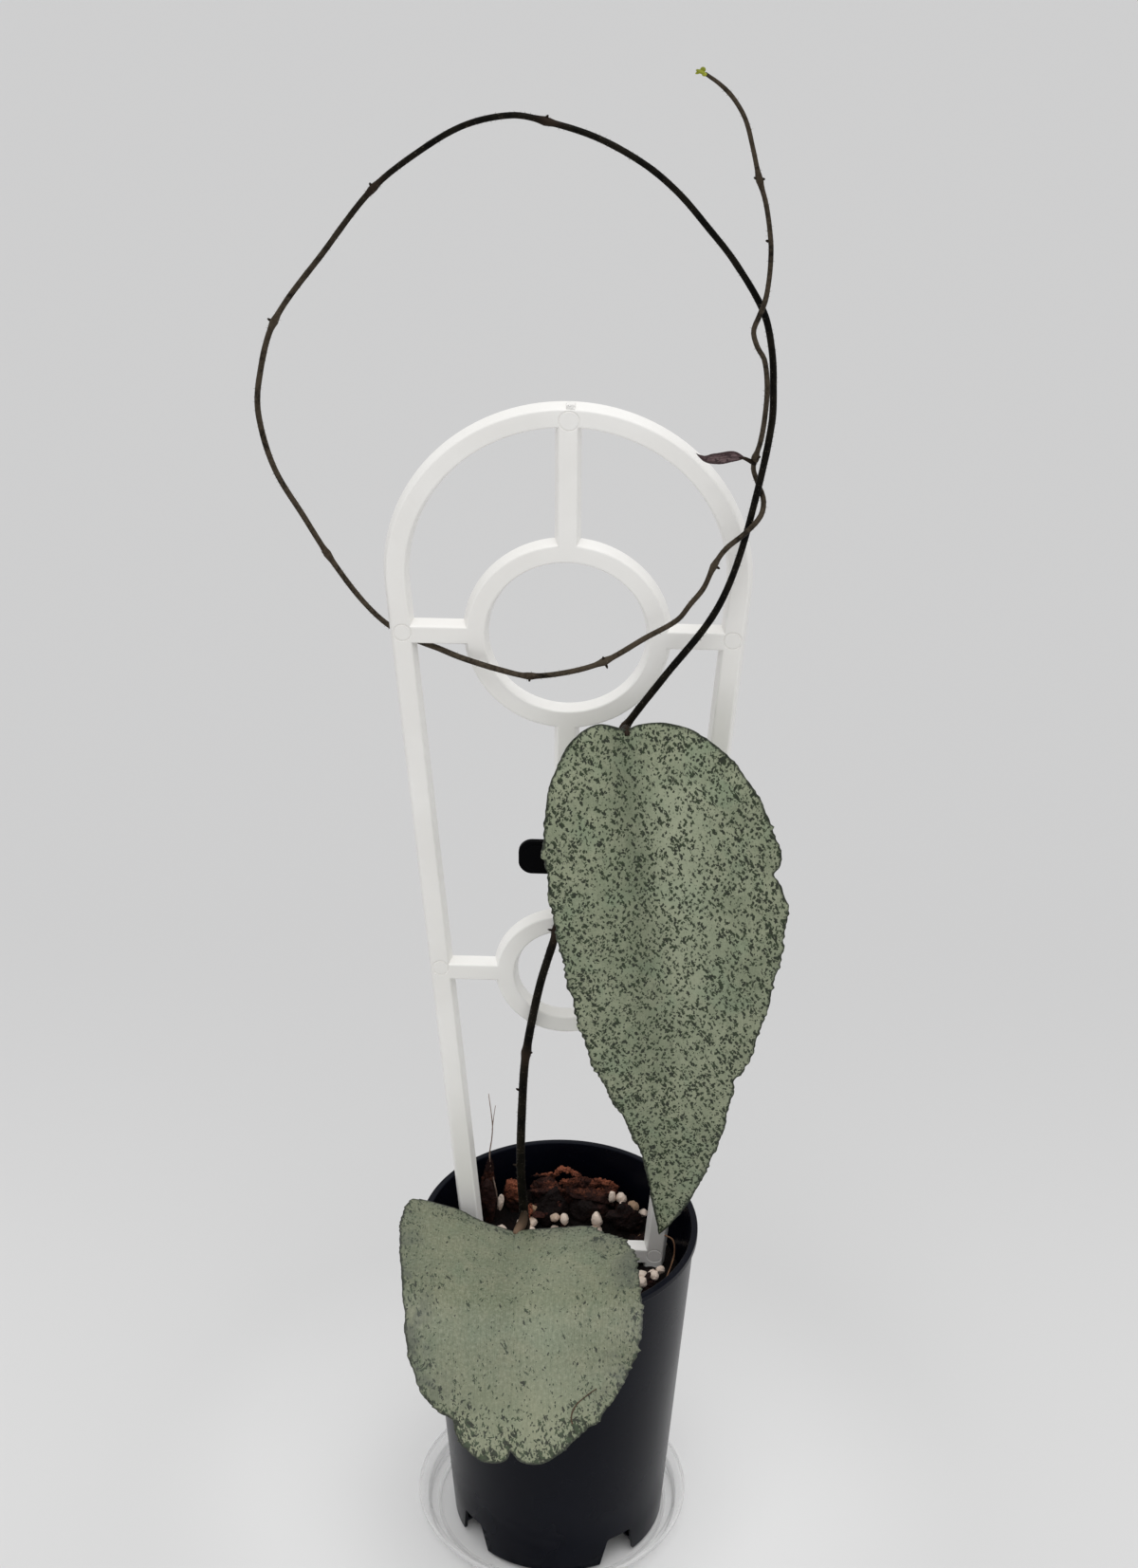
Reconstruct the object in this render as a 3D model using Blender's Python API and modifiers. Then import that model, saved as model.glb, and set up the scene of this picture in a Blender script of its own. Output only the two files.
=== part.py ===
"""A potted hoya on a small moulded trellis, as separate solids in metres.

The origin is the centre of the saucer's underside, +Z is up, the trellis stands
in the XZ plane and the front of the plant faces -Y. Lists of places are in
millimetres and are scaled by MM where they are used.
"""
import math
import random

import bmesh
import bpy
from mathutils import Vector, noise
from mathutils.bvhtree import BVHTree

MM = 0.001

# Fit between pieces that touch
GAP = 0.3

# Saucer
SAUCER_RADIUS = 50.9
SAUCER_HEIGHT = 9.0
SAUCER_BASE_RADIUS = 45.3
SAUCER_FLOOR = 1.5
SAUCER_WALL = 1.1
SAUCER_BEAD = 1.1

# Nursery pot, which stands a little to the right of the saucer's centre
POT_X = 2.4
POT_STAND = SAUCER_FLOOR + GAP
POT_TOP = 134.1
RIM_RADIUS = 50.0
RIM_DEPTH = 2.6
WALL_TOP_RADIUS = 49.1
FOOT_RADIUS = 39.5
POT_WALL = 1.4
POT_FLOOR_UNDER = 5.5
POT_FLOOR = 1.6
NOTCH_HEIGHT = 8.0
NOTCH_WIDTH = 16.0
NOTCH_TURNS = (35.0, 125.0, 215.0, 305.0)
DRAIN_RADIUS = 4.0
DRAIN_RING = 20.0
DRAIN_COUNT = 5

# Potting mix
MIX_LEVEL = 107.2
MIX_BACK_RISE = 0.32
MIX_RELIEF = 0.9
MIX_RINGS = 6

# Trellis, measured from the pot's rim
TRELLIS_X = POT_X + 1.2
TRELLIS_Y = 12.7
BAR_WIDTH = 6.4
BAR_DEPTH = 6.2
ARCH_RADIUS = 59.3
ARCH_HEIGHT = 249.1
STILE_SLOPE = 0.0865
RING_ONE_HEIGHT = 230.0
RING_ONE_RADIUS = 33.2
RING_TWO_HEIGHT = 100.6
RING_TWO_RADIUS = 24.3
CROSSBAR_HEIGHT = -22.2
LEG_TIP = -108.0
LEG_POINT_LENGTH = 24.0
LEG_POINT_WIDTH = 1.6
ARC_STEP = math.radians(9.0)

# Clip that holds the stem to the middle spoke
CLIP_Z = 281.5
CLIP_HEIGHT = 9.0
CLIP_WALL = 1.5
TAB_Z = 285.9
TAB_WIDTH = 12.6
TAB_HEIGHT = 12.8
TAB_THICKNESS = 1.9
TAB_Y = 3.4

# Stem and vine: x, y, z and radius along the one grown stem, from below the
# surface of the mix, past the clip and the upper leaf, round the loop and
# twined back up the first strand to the growing tip
VINE_ROUTE = (
    (-9.8, 3, 78, 1.6), (-9.8, 2.9, 105, 1.6), (-10.2, 2.9, 131, 1.6), (-11.6, 3.2, 157, 1.55),
    (-10.8, 4, 189, 1.5), (-9.6, 5, 205, 1.5), (-5, 6, 232, 1.45), (0.8, 6.2, 255, 1.4),
    (3.2, 6.3, 271, 1.35), (4.2, 6.3, 286, 1.3), (8, 5.5, 303, 1.3), (15, 4, 320, 1.3),
    (23, 2.6, 336, 1.25), (35, 3, 354, 1.2), (50, 3.2, 376, 1.15), (57, 3, 394, 1.1),
    (63, 2, 422, 1.1), (66, 0, 443, 1.1), (66, -1, 454, 1.1), (65, -2, 467, 1.05),
    (62, -2, 479, 1.05), (53, -2, 494, 1.0), (45, -2, 504, 1.0), (36, -1, 514, 1.0),
    (26, 0, 522, 1.0), (12, 2, 529, 1.0), (-3, 4, 533, 0.95), (-13, 6, 534, 0.95),
    (-27, 9, 530, 0.95), (-41, 12, 521, 0.95), (-55, 15, 509, 0.95), (-71, 19, 488, 0.95),
    (-88, 23, 464, 0.95), (-94, 25, 444, 0.95), (-95, 27, 431, 0.95), (-91, 28, 413, 0.95),
    (-82, 28, 396, 0.95), (-75, 27, 384, 0.95), (-65, 25, 370, 0.9), (-56, 22, 362, 0.9),
    (-46, 18.2, 357, 0.9), (-38, 12.5, 356.5, 0.9), (-30, 7.4, 356, 0.9), (-17, 5, 354, 0.9),
    (-8, 4.2, 353, 0.9), (5, 4, 355, 0.9), (16, 4, 359, 0.9), (29, 3.4, 368, 0.9),
    (39, 2.6, 375, 0.85), (43, 1.8, 381, 0.85), (47, 1.2, 387, 0.85), (50, 0.6, 395, 0.85),
    (53.4, 0, 401, 0.85), (59.6, -0.2, 407, 0.85), (63.9, 1.2, 412, 0.85), (64.7, 4, 416, 0.85),
    (63, 5.4, 420.5, 0.8), (61.2, 4.4, 426, 0.8), (61.5, 1.6, 431, 0.8), (62.8, -2, 438, 0.8),
    (63.7, -3.2, 446, 0.8), (64, -4, 456, 0.8), (62.8, -4.8, 465, 0.8), (60.6, -5.2, 469, 0.8),
    (59.2, -5.4, 474, 0.8), (60.6, -5.4, 478.5, 0.8), (62.2, -5, 483, 0.8), (63, -4.6, 488, 0.75),
    (63.4, -4, 494, 0.75), (63.2, -4, 501, 0.75), (61.4, -4, 512, 0.75), (59.2, -3, 519, 0.75),
    (57, -3, 528, 0.7), (54.6, -2, 536, 0.7), (51, -2, 542, 0.7), (47, -2, 546, 0.65),
    (42.6, -2, 549, 0.55),
)
# Route points where leaves or roots stand, and how much the stem swells there
VINE_NODES = {
    2: 0.5, 5: 0.4, 7: 0.35, 12: 0.55, 26: 0.45, 30: 0.4, 32: 0.45, 37: 0.4, 44: 0.35,
    46: 0.5, 51: 0.35, 58: 0.55, 71: 0.4,
}
VINE_STEP = 9.0
NODE_REACH = 1.7

# Leaves: a midrib in space, then each margin as half width and distance along
# the midrib, from the notch at the stalk to the tip
UPPER_MIDRIB = (
    (23.9, -7, 340), (27, -14, 318), (32, -20, 280), (35, -22, 240), (37.2, -21, 190),
    (38.5, -16, 143.8),
)
UPPER_LEFT = (
    (0, 0), (9, -3.2), (17.5, 0.5), (26, 13), (30.5, 30), (31, 46), (29, 74), (26, 97), (21, 119),
    (14.5, 137), (9, 151), (5, 164), (2.5, 182), (0, 199.5),
)
UPPER_RIGHT = (
    (0, 0), (6, -2), (13, -1.5), (24, 3.5), (32, 11), (38.5, 21), (43, 32), (45, 45), (45, 62),
    (41.5, 80), (38, 94), (33, 111), (26.5, 128), (22, 147), (17.5, 164), (10, 183), (0, 199.5),
)
LOWER_MIDRIB = (
    (-13.4, -2.6, 131.8), (-13.6, -25, 134.3), (-13.2, -47.5, 135.4), (-12, -67, 122.5),
    (-10.2, -84, 103.9),
)
LOWER_LEFT = (
    (0, 0), (12.5, -2.6), (21, -6.2), (29, -6.6), (37, -4.6), (40.2, 4), (39.4, 20.5), (35.6, 47),
    (34, 61.5), (31, 70), (26, 79), (18.8, 84.5), (16.3, 92.5), (10, 98.4), (5, 99.8), (1.5, 98.5),
    (0, 95.7),
)
LOWER_RIGHT = (
    (0, 0), (5, -0.9), (12.6, 0.5), (26, 3), (34, 9.5), (40, 15), (44, 24), (45.4, 36),
    (46.3, 47.7), (45, 61), (40, 72), (33, 82), (26, 89), (20, 95), (13.4, 99.5), (8, 100.6),
    (3, 99.2), (0, 95.7),
)
YOUNG_MIDRIB = ((57.6, 0.4, 432.6), (52, -0.4, 433), (46.5, -1, 434.5), (42.8, -1.2, 435.4))
YOUNG_MARGIN = ((0, 0), (1.3, 2), (1.9, 5), (1.8, 8), (1.2, 12), (0, 15.3))

LEAF_THICKNESS = 1.2
YOUNG_THICKNESS = 0.8
PETIOLE_SIDES = 8

# Bark lumps of the same dark colour as the mix: centre, size and turn about Z
DARK_BARK = (
    ((-2, 33, 115.5), (15, 12, 14), 12), ((13, 33.5, 113), (15, 12, 12), -8),
    ((26, 30, 113), (11, 11, 14), 40), ((33, 20.5, 109), (9, 8, 8), 15),
    ((-31, 20.6, 109), (9, 7, 8), -12), ((-8, 20.8, 108.5), (12, 7, 8), 5),
    ((15, 20.8, 108.5), (12, 7, 8), -4), ((-22, -20, 108.5), (15, 12, 9), 25),
    ((1, -31, 108.5), (16, 11, 10), -12), ((21, -22, 108.5), (13, 14, 10), 35),
    ((5, -11, 107.5), (12, 10, 8), 20), ((-35, -5, 108), (9, 13, 8), 8),
    ((33, -13, 108), (10, 9, 8), -30), ((-10, -38, 108), (12, 8, 9), 10),
    ((35, -2, 108.5), (12, 11, 9), 0),
)
# Reddish chips that lie loose on the mix: place, how deep they are set, size and
# turns about X, Y and Z
RED_CHIPS = (
    ((-25, 29.5), 3.5, (6.5, 8, 23), (8, -3, 10)),
    ((-16, 35.2), 3.5, (8, 8, 16), (10, 4, -8)),
    ((-3.6, 34.0), 0.6, (14, 3.2, 2.8), (0, 3, 4)),
    ((-10.6, 26.6), 3.0, (3.2, 2.4, 16), (-6, 10, 0)),
    ((13, 35), 1.2, (21, 8, 5.4), (10, 13, -6)),
)
# White perlite grains: place and size across
PERLITE = (
    ((-20.4, 24.5), 4.6), ((-9.2, 22), 4.2), ((-0.4, 25.2), 3.8), ((5.2, 24.6), 4.2),
    ((14.8, 25.4), 5.0), ((25, 36.5), 4.6), ((28.6, 29.6), 4.4), ((32.6, -4.4), 4.2),
    ((37.4, -2.2), 3.8),
    ((-14, -9.5), 4.6), ((-27, 3.5), 4.2), ((16, 3.5), 4.4),
)
PERLITE_SET = 0.35

TWIG_MAIN = ((-22.4, 34.5, 105), (-22.6, 34.6, 118), (-24.6, 34.9, 130), (-25.2, 34.9, 137),
             (-24.2, 34.7, 146), (-24, 34.3, 152), (-25.2, 33.6, 166))
TWIG_FORK = ((-24.1, 34.3, 149), (-23.6, 34.4, 154), (-22.8, 34.6, 160))
TWIG_RADIUS = 0.55
ROOTLET = ((40.6, 3.4, 127.4), (43.6, 2.4, 126), (44.2, -0.6, 122), (42.4, -4.6, 117),
           (40, -8.2, 112), (39.5, -8.8, 108), (39.5, -8.8, 101))
ROOTLET_RADIUS = 0.45

FINISHES = {
    "clear_plastic": ((0.85, 0.86, 0.86), 0.12),
    "black_plastic": ((0.018, 0.020, 0.024), 0.38),
    "dark_bark": ((0.045, 0.024, 0.018), 0.9),
    "red_bark": ((0.19, 0.065, 0.036), 0.85),
    "perlite": ((0.72, 0.67, 0.60), 0.9),
    "white_plastic": ((0.80, 0.79, 0.77), 0.35),
    "clip_black": ((0.012, 0.012, 0.013), 0.3),
    "stem_brown": ((0.035, 0.026, 0.020), 0.6),
    "leaf_green": ((0.19, 0.23, 0.155), 0.5),
    "leaf_pale": ((0.25, 0.28, 0.19), 0.5),
    "leaf_purple": ((0.10, 0.045, 0.050), 0.5),
    "dry_root": ((0.38, 0.20, 0.12), 0.8),
}


def clear_objects():
    """Removes whatever the file holds before the model is made."""
    for obj in list(bpy.data.objects):
        bpy.data.objects.remove(obj, do_unlink=True)


def collection(name):
    """Makes a collection in the scene."""
    made = bpy.data.collections.new(name)
    bpy.context.scene.collection.children.link(made)
    return made


def guide_collection(name, guides):
    """Makes a collection of cutters or of pieces to join, inside the guides."""
    made = bpy.data.collections.new(name)
    guides.children.link(made)
    return made


def finish(name):
    """Returns the Principled material of a finish, made once."""
    if name in bpy.data.materials:
        return bpy.data.materials[name]
    colour, roughness = FINISHES[name]
    material = bpy.data.materials.new(name)
    material.use_nodes = True
    shader = material.node_tree.nodes["Principled BSDF"]
    shader.inputs["Base Color"].default_value = (*colour, 1.0)
    shader.inputs["Roughness"].default_value = roughness
    shader.inputs["Metallic"].default_value = 0.0
    if name == "clear_plastic":
        shader.inputs["Transmission Weight"].default_value = 0.9
    return material


def add(name, data, group, finish_name=None):
    """Puts a mesh or a curve in a collection as a named object."""
    obj = bpy.data.objects.new(name, data)
    group.objects.link(obj)
    if finish_name:
        data.materials.append(finish(finish_name))
    if isinstance(data, bpy.types.Mesh):
        data.shade_smooth()
        data.set_sharp_from_angle(angle=math.radians(40))
    return obj


def hide_guide(obj):
    """Marks an object as a cutter, which isn't part of the model."""
    obj.hide_render = True
    obj.display_type = "WIRE"


def mesh_from(bm, name):
    """Turns a bmesh into a mesh and frees it."""
    mesh = bpy.data.meshes.new(name)
    bm.to_mesh(mesh)
    bm.free()
    return mesh


def evaluated_mesh(obj, name):
    """Returns an object's finished mesh, with the loose caps of a curve welded."""
    depsgraph = bpy.context.evaluated_depsgraph_get()
    mesh = bpy.data.meshes.new_from_object(obj.evaluated_get(depsgraph))
    mesh.name = name
    bm = bmesh.new()
    bm.from_mesh(mesh)
    bmesh.ops.remove_doubles(bm, verts=bm.verts, dist=0.00001)
    bmesh.ops.recalc_face_normals(bm, faces=bm.faces)
    bm.to_mesh(mesh)
    bm.free()
    return mesh


def as_mesh_object(obj, group, finish_name=None):
    """Replaces an object by one that holds its finished mesh at the same place."""
    name = obj.name
    matrix = obj.matrix_world.copy()
    mesh = evaluated_mesh(obj, name)
    bpy.data.objects.remove(obj, do_unlink=True)
    mesh.materials.clear()
    made = add(name, mesh, group, finish_name)
    made.matrix_world = matrix
    return made


def boolean(obj, operation, group):
    """Joins or cuts an object with every object of a collection."""
    modifier = obj.modifiers.new(operation.title(), "BOOLEAN")
    modifier.operation = operation
    modifier.operand_type = "COLLECTION"
    modifier.collection = group
    modifier.solver = "EXACT"
    return modifier


def turned(name, profile, segments, group, finish_name):
    """Turns a profile of radius and height about the Z axis."""
    bm = bmesh.new()
    verts = [bm.verts.new((radius * MM, 0.0, height * MM)) for radius, height in profile]
    for first, second in zip(verts, verts[1:]):
        bm.edges.new((first, second))
    obj = add(name, mesh_from(bm, name), group, finish_name)
    screw = obj.modifiers.new("Turn", "SCREW")
    screw.axis = "Z"
    screw.steps = segments
    screw.render_steps = segments
    screw.use_merge_vertices = True
    screw.merge_threshold = 0.00001
    screw.use_normal_calculate = True
    return obj


def smooth_path(points, step, extra=()):
    """Reads places along a smooth curve through the points.

    The curve is a cubic through every point. Places lie about a step apart, with
    more of them at the distances in extra. Each place is a tuple of numbers, as
    the points are, and comes with its distance along the curve.
    """
    rows = [tuple(float(value) for value in point) for point in points]
    lengths = [0.0]
    for first, second in zip(rows, rows[1:]):
        lengths.append(lengths[-1] + math.dist(first[:3], second[:3]))
    slopes = []
    for index, row in enumerate(rows):
        before = max(index - 1, 0)
        after = min(index + 1, len(rows) - 1)
        span = lengths[after] - lengths[before]
        slopes.append([(b - a) / span for a, b in zip(rows[before], rows[after])])

    def place(distance):
        """Gives the numbers at a distance along the curve."""
        index = 0
        while index < len(rows) - 2 and distance > lengths[index + 1]:
            index += 1
        span = lengths[index + 1] - lengths[index]
        t = (distance - lengths[index]) / span
        weights = (2 * t**3 - 3 * t**2 + 1, (t**3 - 2 * t**2 + t) * span,
                   3 * t**2 - 2 * t**3, (t**3 - t**2) * span)
        parts = (rows[index], slopes[index], rows[index + 1], slopes[index + 1])
        return tuple(sum(w * part[k] for w, part in zip(weights, parts))
                     for k in range(len(rows[0])))

    count = max(2, round(lengths[-1] / step))
    stations = [lengths[-1] * index / count for index in range(count + 1)]
    for distance in extra:
        stations = [s for s in stations if abs(s - distance) > step * 0.2 or s in (0.0, lengths[-1])]
        stations.append(distance)
    stations.sort()
    return [(distance, place(distance)) for distance in stations], lengths


def tube(name, places, group, finish_name, sides=8):
    """Makes a round stem along places of x, y, z and radius."""
    curve = bpy.data.curves.new(name, "CURVE")
    curve.dimensions = "3D"
    curve.bevel_depth = MM
    curve.bevel_resolution = sides // 2 - 2
    curve.use_fill_caps = True
    curve.twist_mode = "MINIMUM"
    spline = curve.splines.new("POLY")
    spline.points.add(len(places) - 1)
    for point, (x, y, z, radius) in zip(spline.points, places):
        point.co = (x * MM, y * MM, z * MM, 1.0)
        point.radius = radius
    return add(name, curve, group, finish_name)


def flat_plate(name, outlines, thickness, group, finish_name=None):
    """Makes a flat plate from closed outlines, of which the inner ones are holes."""
    curve = bpy.data.curves.new(name, "CURVE")
    curve.dimensions = "2D"
    curve.fill_mode = "BOTH"
    curve.extrude = thickness * MM / 2
    for outline in outlines:
        spline = curve.splines.new("POLY")
        spline.points.add(len(outline) - 1)
        spline.use_cyclic_u = True
        for point, (x, y) in zip(spline.points, outline):
            point.co = (x * MM, y * MM, 0.0, 1.0)
    return add(name, curve, group, finish_name)


def arc(centre, radius, start, end):
    """Gives points along an arc from one angle to another, both included."""
    count = max(2, math.ceil(abs(end - start) / ARC_STEP))
    angles = [start + (end - start) * index / count for index in range(count + 1)]
    return [(centre[0] + radius * math.cos(a), centre[1] + radius * math.sin(a)) for a in angles]


def box_cutter(name, size, place, turn, group):
    """Adds a box cutter of a size, turned about Z and moved to its place."""
    bm = bmesh.new()
    bmesh.ops.create_cube(bm, size=1.0)
    bmesh.ops.scale(bm, vec=Vector(size) * MM, verts=bm.verts)
    obj = add(name, mesh_from(bm, name), group)
    obj.location = Vector(place) * MM
    obj.rotation_euler.z = turn
    hide_guide(obj)
    return obj


def round_cutter(name, radius, depth, place, group, sides=16):
    """Adds an upright round cutter centred on a place."""
    bm = bmesh.new()
    bmesh.ops.create_cone(bm, cap_ends=True, segments=sides, radius1=radius * MM,
                          radius2=radius * MM, depth=depth * MM)
    obj = add(name, mesh_from(bm, name), group)
    obj.location = Vector(place) * MM
    hide_guide(obj)
    return obj


def make_saucer(group):
    """Turns the clear saucer, with its sloped wall and beaded rim."""
    rim_inner = SAUCER_RADIUS - 2 * SAUCER_BEAD
    top = SAUCER_HEIGHT
    profile = (
        (0.0, SAUCER_FLOOR), (SAUCER_BASE_RADIUS - 3.0, SAUCER_FLOOR),
        (SAUCER_BASE_RADIUS - 0.6, SAUCER_FLOOR + 0.8), (rim_inner, top - SAUCER_BEAD),
        (rim_inner + 0.5, top - 0.2), (rim_inner + SAUCER_BEAD, top), (SAUCER_RADIUS - 0.3, top - 0.4),
        (SAUCER_RADIUS, top - SAUCER_BEAD), (SAUCER_RADIUS - 0.3, top - 2 * SAUCER_BEAD),
        (SAUCER_RADIUS - SAUCER_BEAD, top - 2 * SAUCER_BEAD - 0.3),
        (SAUCER_BASE_RADIUS + SAUCER_WALL, 0.8), (SAUCER_BASE_RADIUS, 0.0), (0.0, 0.0),
    )
    return turned("saucer", profile, 44, group, "clear_plastic")


def pot_radius(height):
    """Gives the radius of the pot's outer wall at a height."""
    share = (height - POT_STAND) / (POT_TOP - POT_STAND)
    return FOOT_RADIUS + (WALL_TOP_RADIUS - FOOT_RADIUS) * share


def make_pot(group, guides):
    """Turns the black pot, then cuts the notches of its foot and its drain holes."""
    floor_top = POT_FLOOR_UNDER + POT_FLOOR
    lip = POT_TOP - RIM_DEPTH
    profile = (
        (0.0, floor_top), (pot_radius(floor_top) - POT_WALL - 1.5, floor_top),
        (pot_radius(floor_top + 1.5) - POT_WALL, floor_top + 1.5),
        (pot_radius(POT_TOP) - POT_WALL, POT_TOP - 0.5), (pot_radius(POT_TOP) - POT_WALL + 0.5, POT_TOP),
        (RIM_RADIUS - 0.4, POT_TOP), (RIM_RADIUS, POT_TOP - 0.4), (RIM_RADIUS, lip + 0.3),
        (pot_radius(lip), lip - 0.4), (FOOT_RADIUS, POT_STAND), (FOOT_RADIUS - POT_WALL, POT_STAND),
        (pot_radius(POT_FLOOR_UNDER) - POT_WALL, POT_FLOOR_UNDER), (0.0, POT_FLOOR_UNDER),
    )
    pot = turned("pot", profile, 48, group, "black_plastic")
    pot.location.x = POT_X * MM
    cutters = guide_collection("pot_cutters", guides)
    for index, turn in enumerate(NOTCH_TURNS):
        angle = math.radians(turn)
        reach = FOOT_RADIUS - 2.0
        place = (POT_X + reach * math.sin(angle), -reach * math.cos(angle),
                 POT_STAND + NOTCH_HEIGHT / 2 - 1.0)
        size = (NOTCH_WIDTH, 14.0, NOTCH_HEIGHT + 2.0)
        box_cutter(f"notch_cutter_{index + 1}", size, place, angle, cutters)
    for index in range(DRAIN_COUNT):
        angle = 2 * math.pi * (index + 0.25) / DRAIN_COUNT
        place = (POT_X + DRAIN_RING * math.cos(angle), DRAIN_RING * math.sin(angle),
                 POT_FLOOR_UNDER + POT_FLOOR / 2)
        round_cutter(f"drain_cutter_{index + 1}", DRAIN_RADIUS, POT_FLOOR * 3, place, cutters)
    boolean(pot, "DIFFERENCE", cutters)
    return pot


def lump(name, centre, size, turns, seed, group, finish_name=None, grow=0.0):
    """Makes a chunky lump, from a ball pushed out towards a box and roughened.

    The lump stands at its centre, turned by turns in degrees. A grow in
    millimetres makes it larger all round, for the seat that it lies in.
    """
    bm = bmesh.new()
    bmesh.ops.create_icosphere(bm, subdivisions=2, radius=1.0)
    draw = random.Random(seed)
    offset = Vector((draw.uniform(0, 50), draw.uniform(0, 50), draw.uniform(0, 50)))
    for vert in bm.verts:
        direction = vert.co.normalized()
        boxy = max(abs(direction.x), abs(direction.y), abs(direction.z))
        reach = 0.86 / boxy**0.55 * (1.0 + 0.16 * noise.noise(direction * 1.4 + offset))
        vert.co = Vector((direction.x * (size[0] / 2 * reach + grow),
                          direction.y * (size[1] / 2 * reach + grow),
                          direction.z * (size[2] / 2 * reach + grow))) * MM
    obj = add(name, mesh_from(bm, name), group, finish_name)
    obj.location = Vector(centre) * MM
    obj.rotation_euler = [math.radians(turn) for turn in turns]
    return obj


def drop(surface, place):
    """Gives the height at which something let down at a place meets the mix."""
    top = Vector((place[0] * MM, place[1] * MM, POT_TOP * 2 * MM))
    return surface.ray_cast(top, Vector((0, 0, -1)))[0].z / MM


def make_loose_pieces(surface, group, seats):
    """Lays the red chips and the perlite grains, each with its seat in the mix."""
    room = GAP * 1.2
    for index, (place, depth, size, turns) in enumerate(RED_CHIPS):
        seed = 40 + index
        centre = (*place, drop(surface, place) + size[2] * 0.45 - depth)
        lump(f"bark_chip_{index + 1}", centre, size, turns, seed, group, "red_bark")
        hide_guide(lump(f"chip_seat_{index + 1}", centre, size, turns, seed, seats, None, room))
    for index, (place, size) in enumerate(PERLITE):
        seed = 80 + index
        form = (size, size * 0.84, size * 0.9)
        turns = (23 * index, 0, 57 * index)
        centre = (*place, drop(surface, place) + size * (0.45 - PERLITE_SET))
        lump(f"perlite_{index + 1:02d}", centre, form, turns, seed, group, "perlite")
        hide_guide(lump(f"perlite_seat_{index + 1:02d}", centre, form, turns, seed, seats, None, room))


def mix_height(x, y):
    """Gives the height of the mix's surface, which rises behind the trellis."""
    rise = max(0.0, y - (TRELLIS_Y + BAR_DEPTH / 2 + 1.0)) * MIX_BACK_RISE
    return MIX_LEVEL + rise + MIX_RELIEF * noise.noise(Vector((x * 0.16, y * 0.16, 3.7)))


def make_mix(group, guides):
    """Fills the pot with mix and the bark lumps that belong to it."""
    floor_top = POT_FLOOR_UNDER + POT_FLOOR + GAP
    edge = pot_radius(MIX_LEVEL) - POT_WALL - GAP * 1.5
    profile = [(edge * index / MIX_RINGS, MIX_LEVEL) for index in range(MIX_RINGS + 1)]
    profile.append((pot_radius(floor_top + 2.0) - POT_WALL - GAP * 1.5, floor_top + 2.0))
    profile.append((pot_radius(floor_top) - POT_WALL - GAP - 2.4, floor_top))
    profile.append((0.0, floor_top))
    mix = turned("potting_mix", profile, 32, group, "dark_bark")
    mix.location.x = POT_X * MM
    bpy.context.view_layer.update()
    mix = as_mesh_object(mix, group, "dark_bark")
    for vert in mix.data.vertices:
        if abs(vert.co.z - MIX_LEVEL * MM) < 0.1 * MM:
            vert.co.z = mix_height(vert.co.x / MM + POT_X, vert.co.y / MM) * MM
    bark = guide_collection("bark_lumps", guides)
    for index, (centre, size, turn) in enumerate(DARK_BARK):
        turns = (7.0 * (index % 3), -6.0 * (index % 4), turn)
        hide_guide(lump(f"bark_lump_{index + 1:02d}", centre, size, turns, 10 + index, bark))
    boolean(mix, "UNION", bark)
    bpy.context.view_layer.update()
    return as_mesh_object(mix, group, "dark_bark")


def surface_of(obj):
    """Returns a tree that rays can be cast at, of an object as it stands."""
    bm = bmesh.new()
    bm.from_mesh(obj.data)
    bm.transform(obj.matrix_world)
    tree = BVHTree.FromBMesh(bm)
    bm.free()
    return tree


def cut_holes(mix, seats):
    """Cuts the mix for its seats, the stem, the roots and the trellis's legs."""
    foot = VINE_ROUTE[0]
    top = MIX_LEVEL + 12.0
    depth = top - foot[2] + 1.0
    place = (foot[0], foot[1], top - depth / 2)
    round_cutter("stem_hole", foot[3] + GAP * 1.5, depth, place, seats, 14)
    for name, end, radius in (("rootlet_hole", ROOTLET[-1], ROOTLET_RADIUS),
                              ("twig_hole", TWIG_MAIN[0], TWIG_RADIUS)):
        place = (end[0], end[1], end[2] + 9.0)
        round_cutter(name, radius + GAP * 1.3, 20.0, place, seats, 10)
    for side, name in ((-1, "left_leg_hole"), (1, "right_leg_hole")):
        plate = flat_plate(name, [leg_outline(side, GAP)], BAR_DEPTH + 2 * GAP, seats)
        plate.location = Vector((TRELLIS_X, TRELLIS_Y, POT_TOP)) * MM
        plate.rotation_euler.x = math.pi / 2
        bpy.context.view_layer.update()
        hide_guide(as_mesh_object(plate, seats))
    boolean(mix, "DIFFERENCE", seats)


def stile_outer(height):
    """Gives how far a stile's outer edge is from the trellis's middle at a height."""
    tilt = math.atan(STILE_SLOPE)
    corner_x = ARCH_RADIUS * math.cos(tilt)
    corner_z = ARCH_HEIGHT - ARCH_RADIUS * math.sin(tilt)
    return corner_x - (corner_z - height) * STILE_SLOPE


def stile_inner(height):
    """Gives how far a stile's inner edge is from the trellis's middle at a height."""
    return stile_outer(height) - BAR_WIDTH / math.cos(math.atan(STILE_SLOPE))


def leg_outline(side, gap):
    """Gives a leg's outline below the crossbar, wider by a gap all round."""
    top = CROSSBAR_HEIGHT - BAR_WIDTH / 2 + 12.0
    shoulder = LEG_TIP + LEG_POINT_LENGTH
    middle = (stile_outer(LEG_TIP) + stile_inner(LEG_TIP)) / 2
    half = LEG_POINT_WIDTH / 2 + gap
    right = [
        (stile_inner(top) - gap, top), (stile_inner(shoulder) - gap, shoulder),
        (middle - half, LEG_TIP - gap), (middle + half, LEG_TIP - gap),
        (stile_outer(shoulder) + gap, shoulder), (stile_outer(top) + gap, top),
    ]
    return [(side * x, z) for x, z in right]


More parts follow.
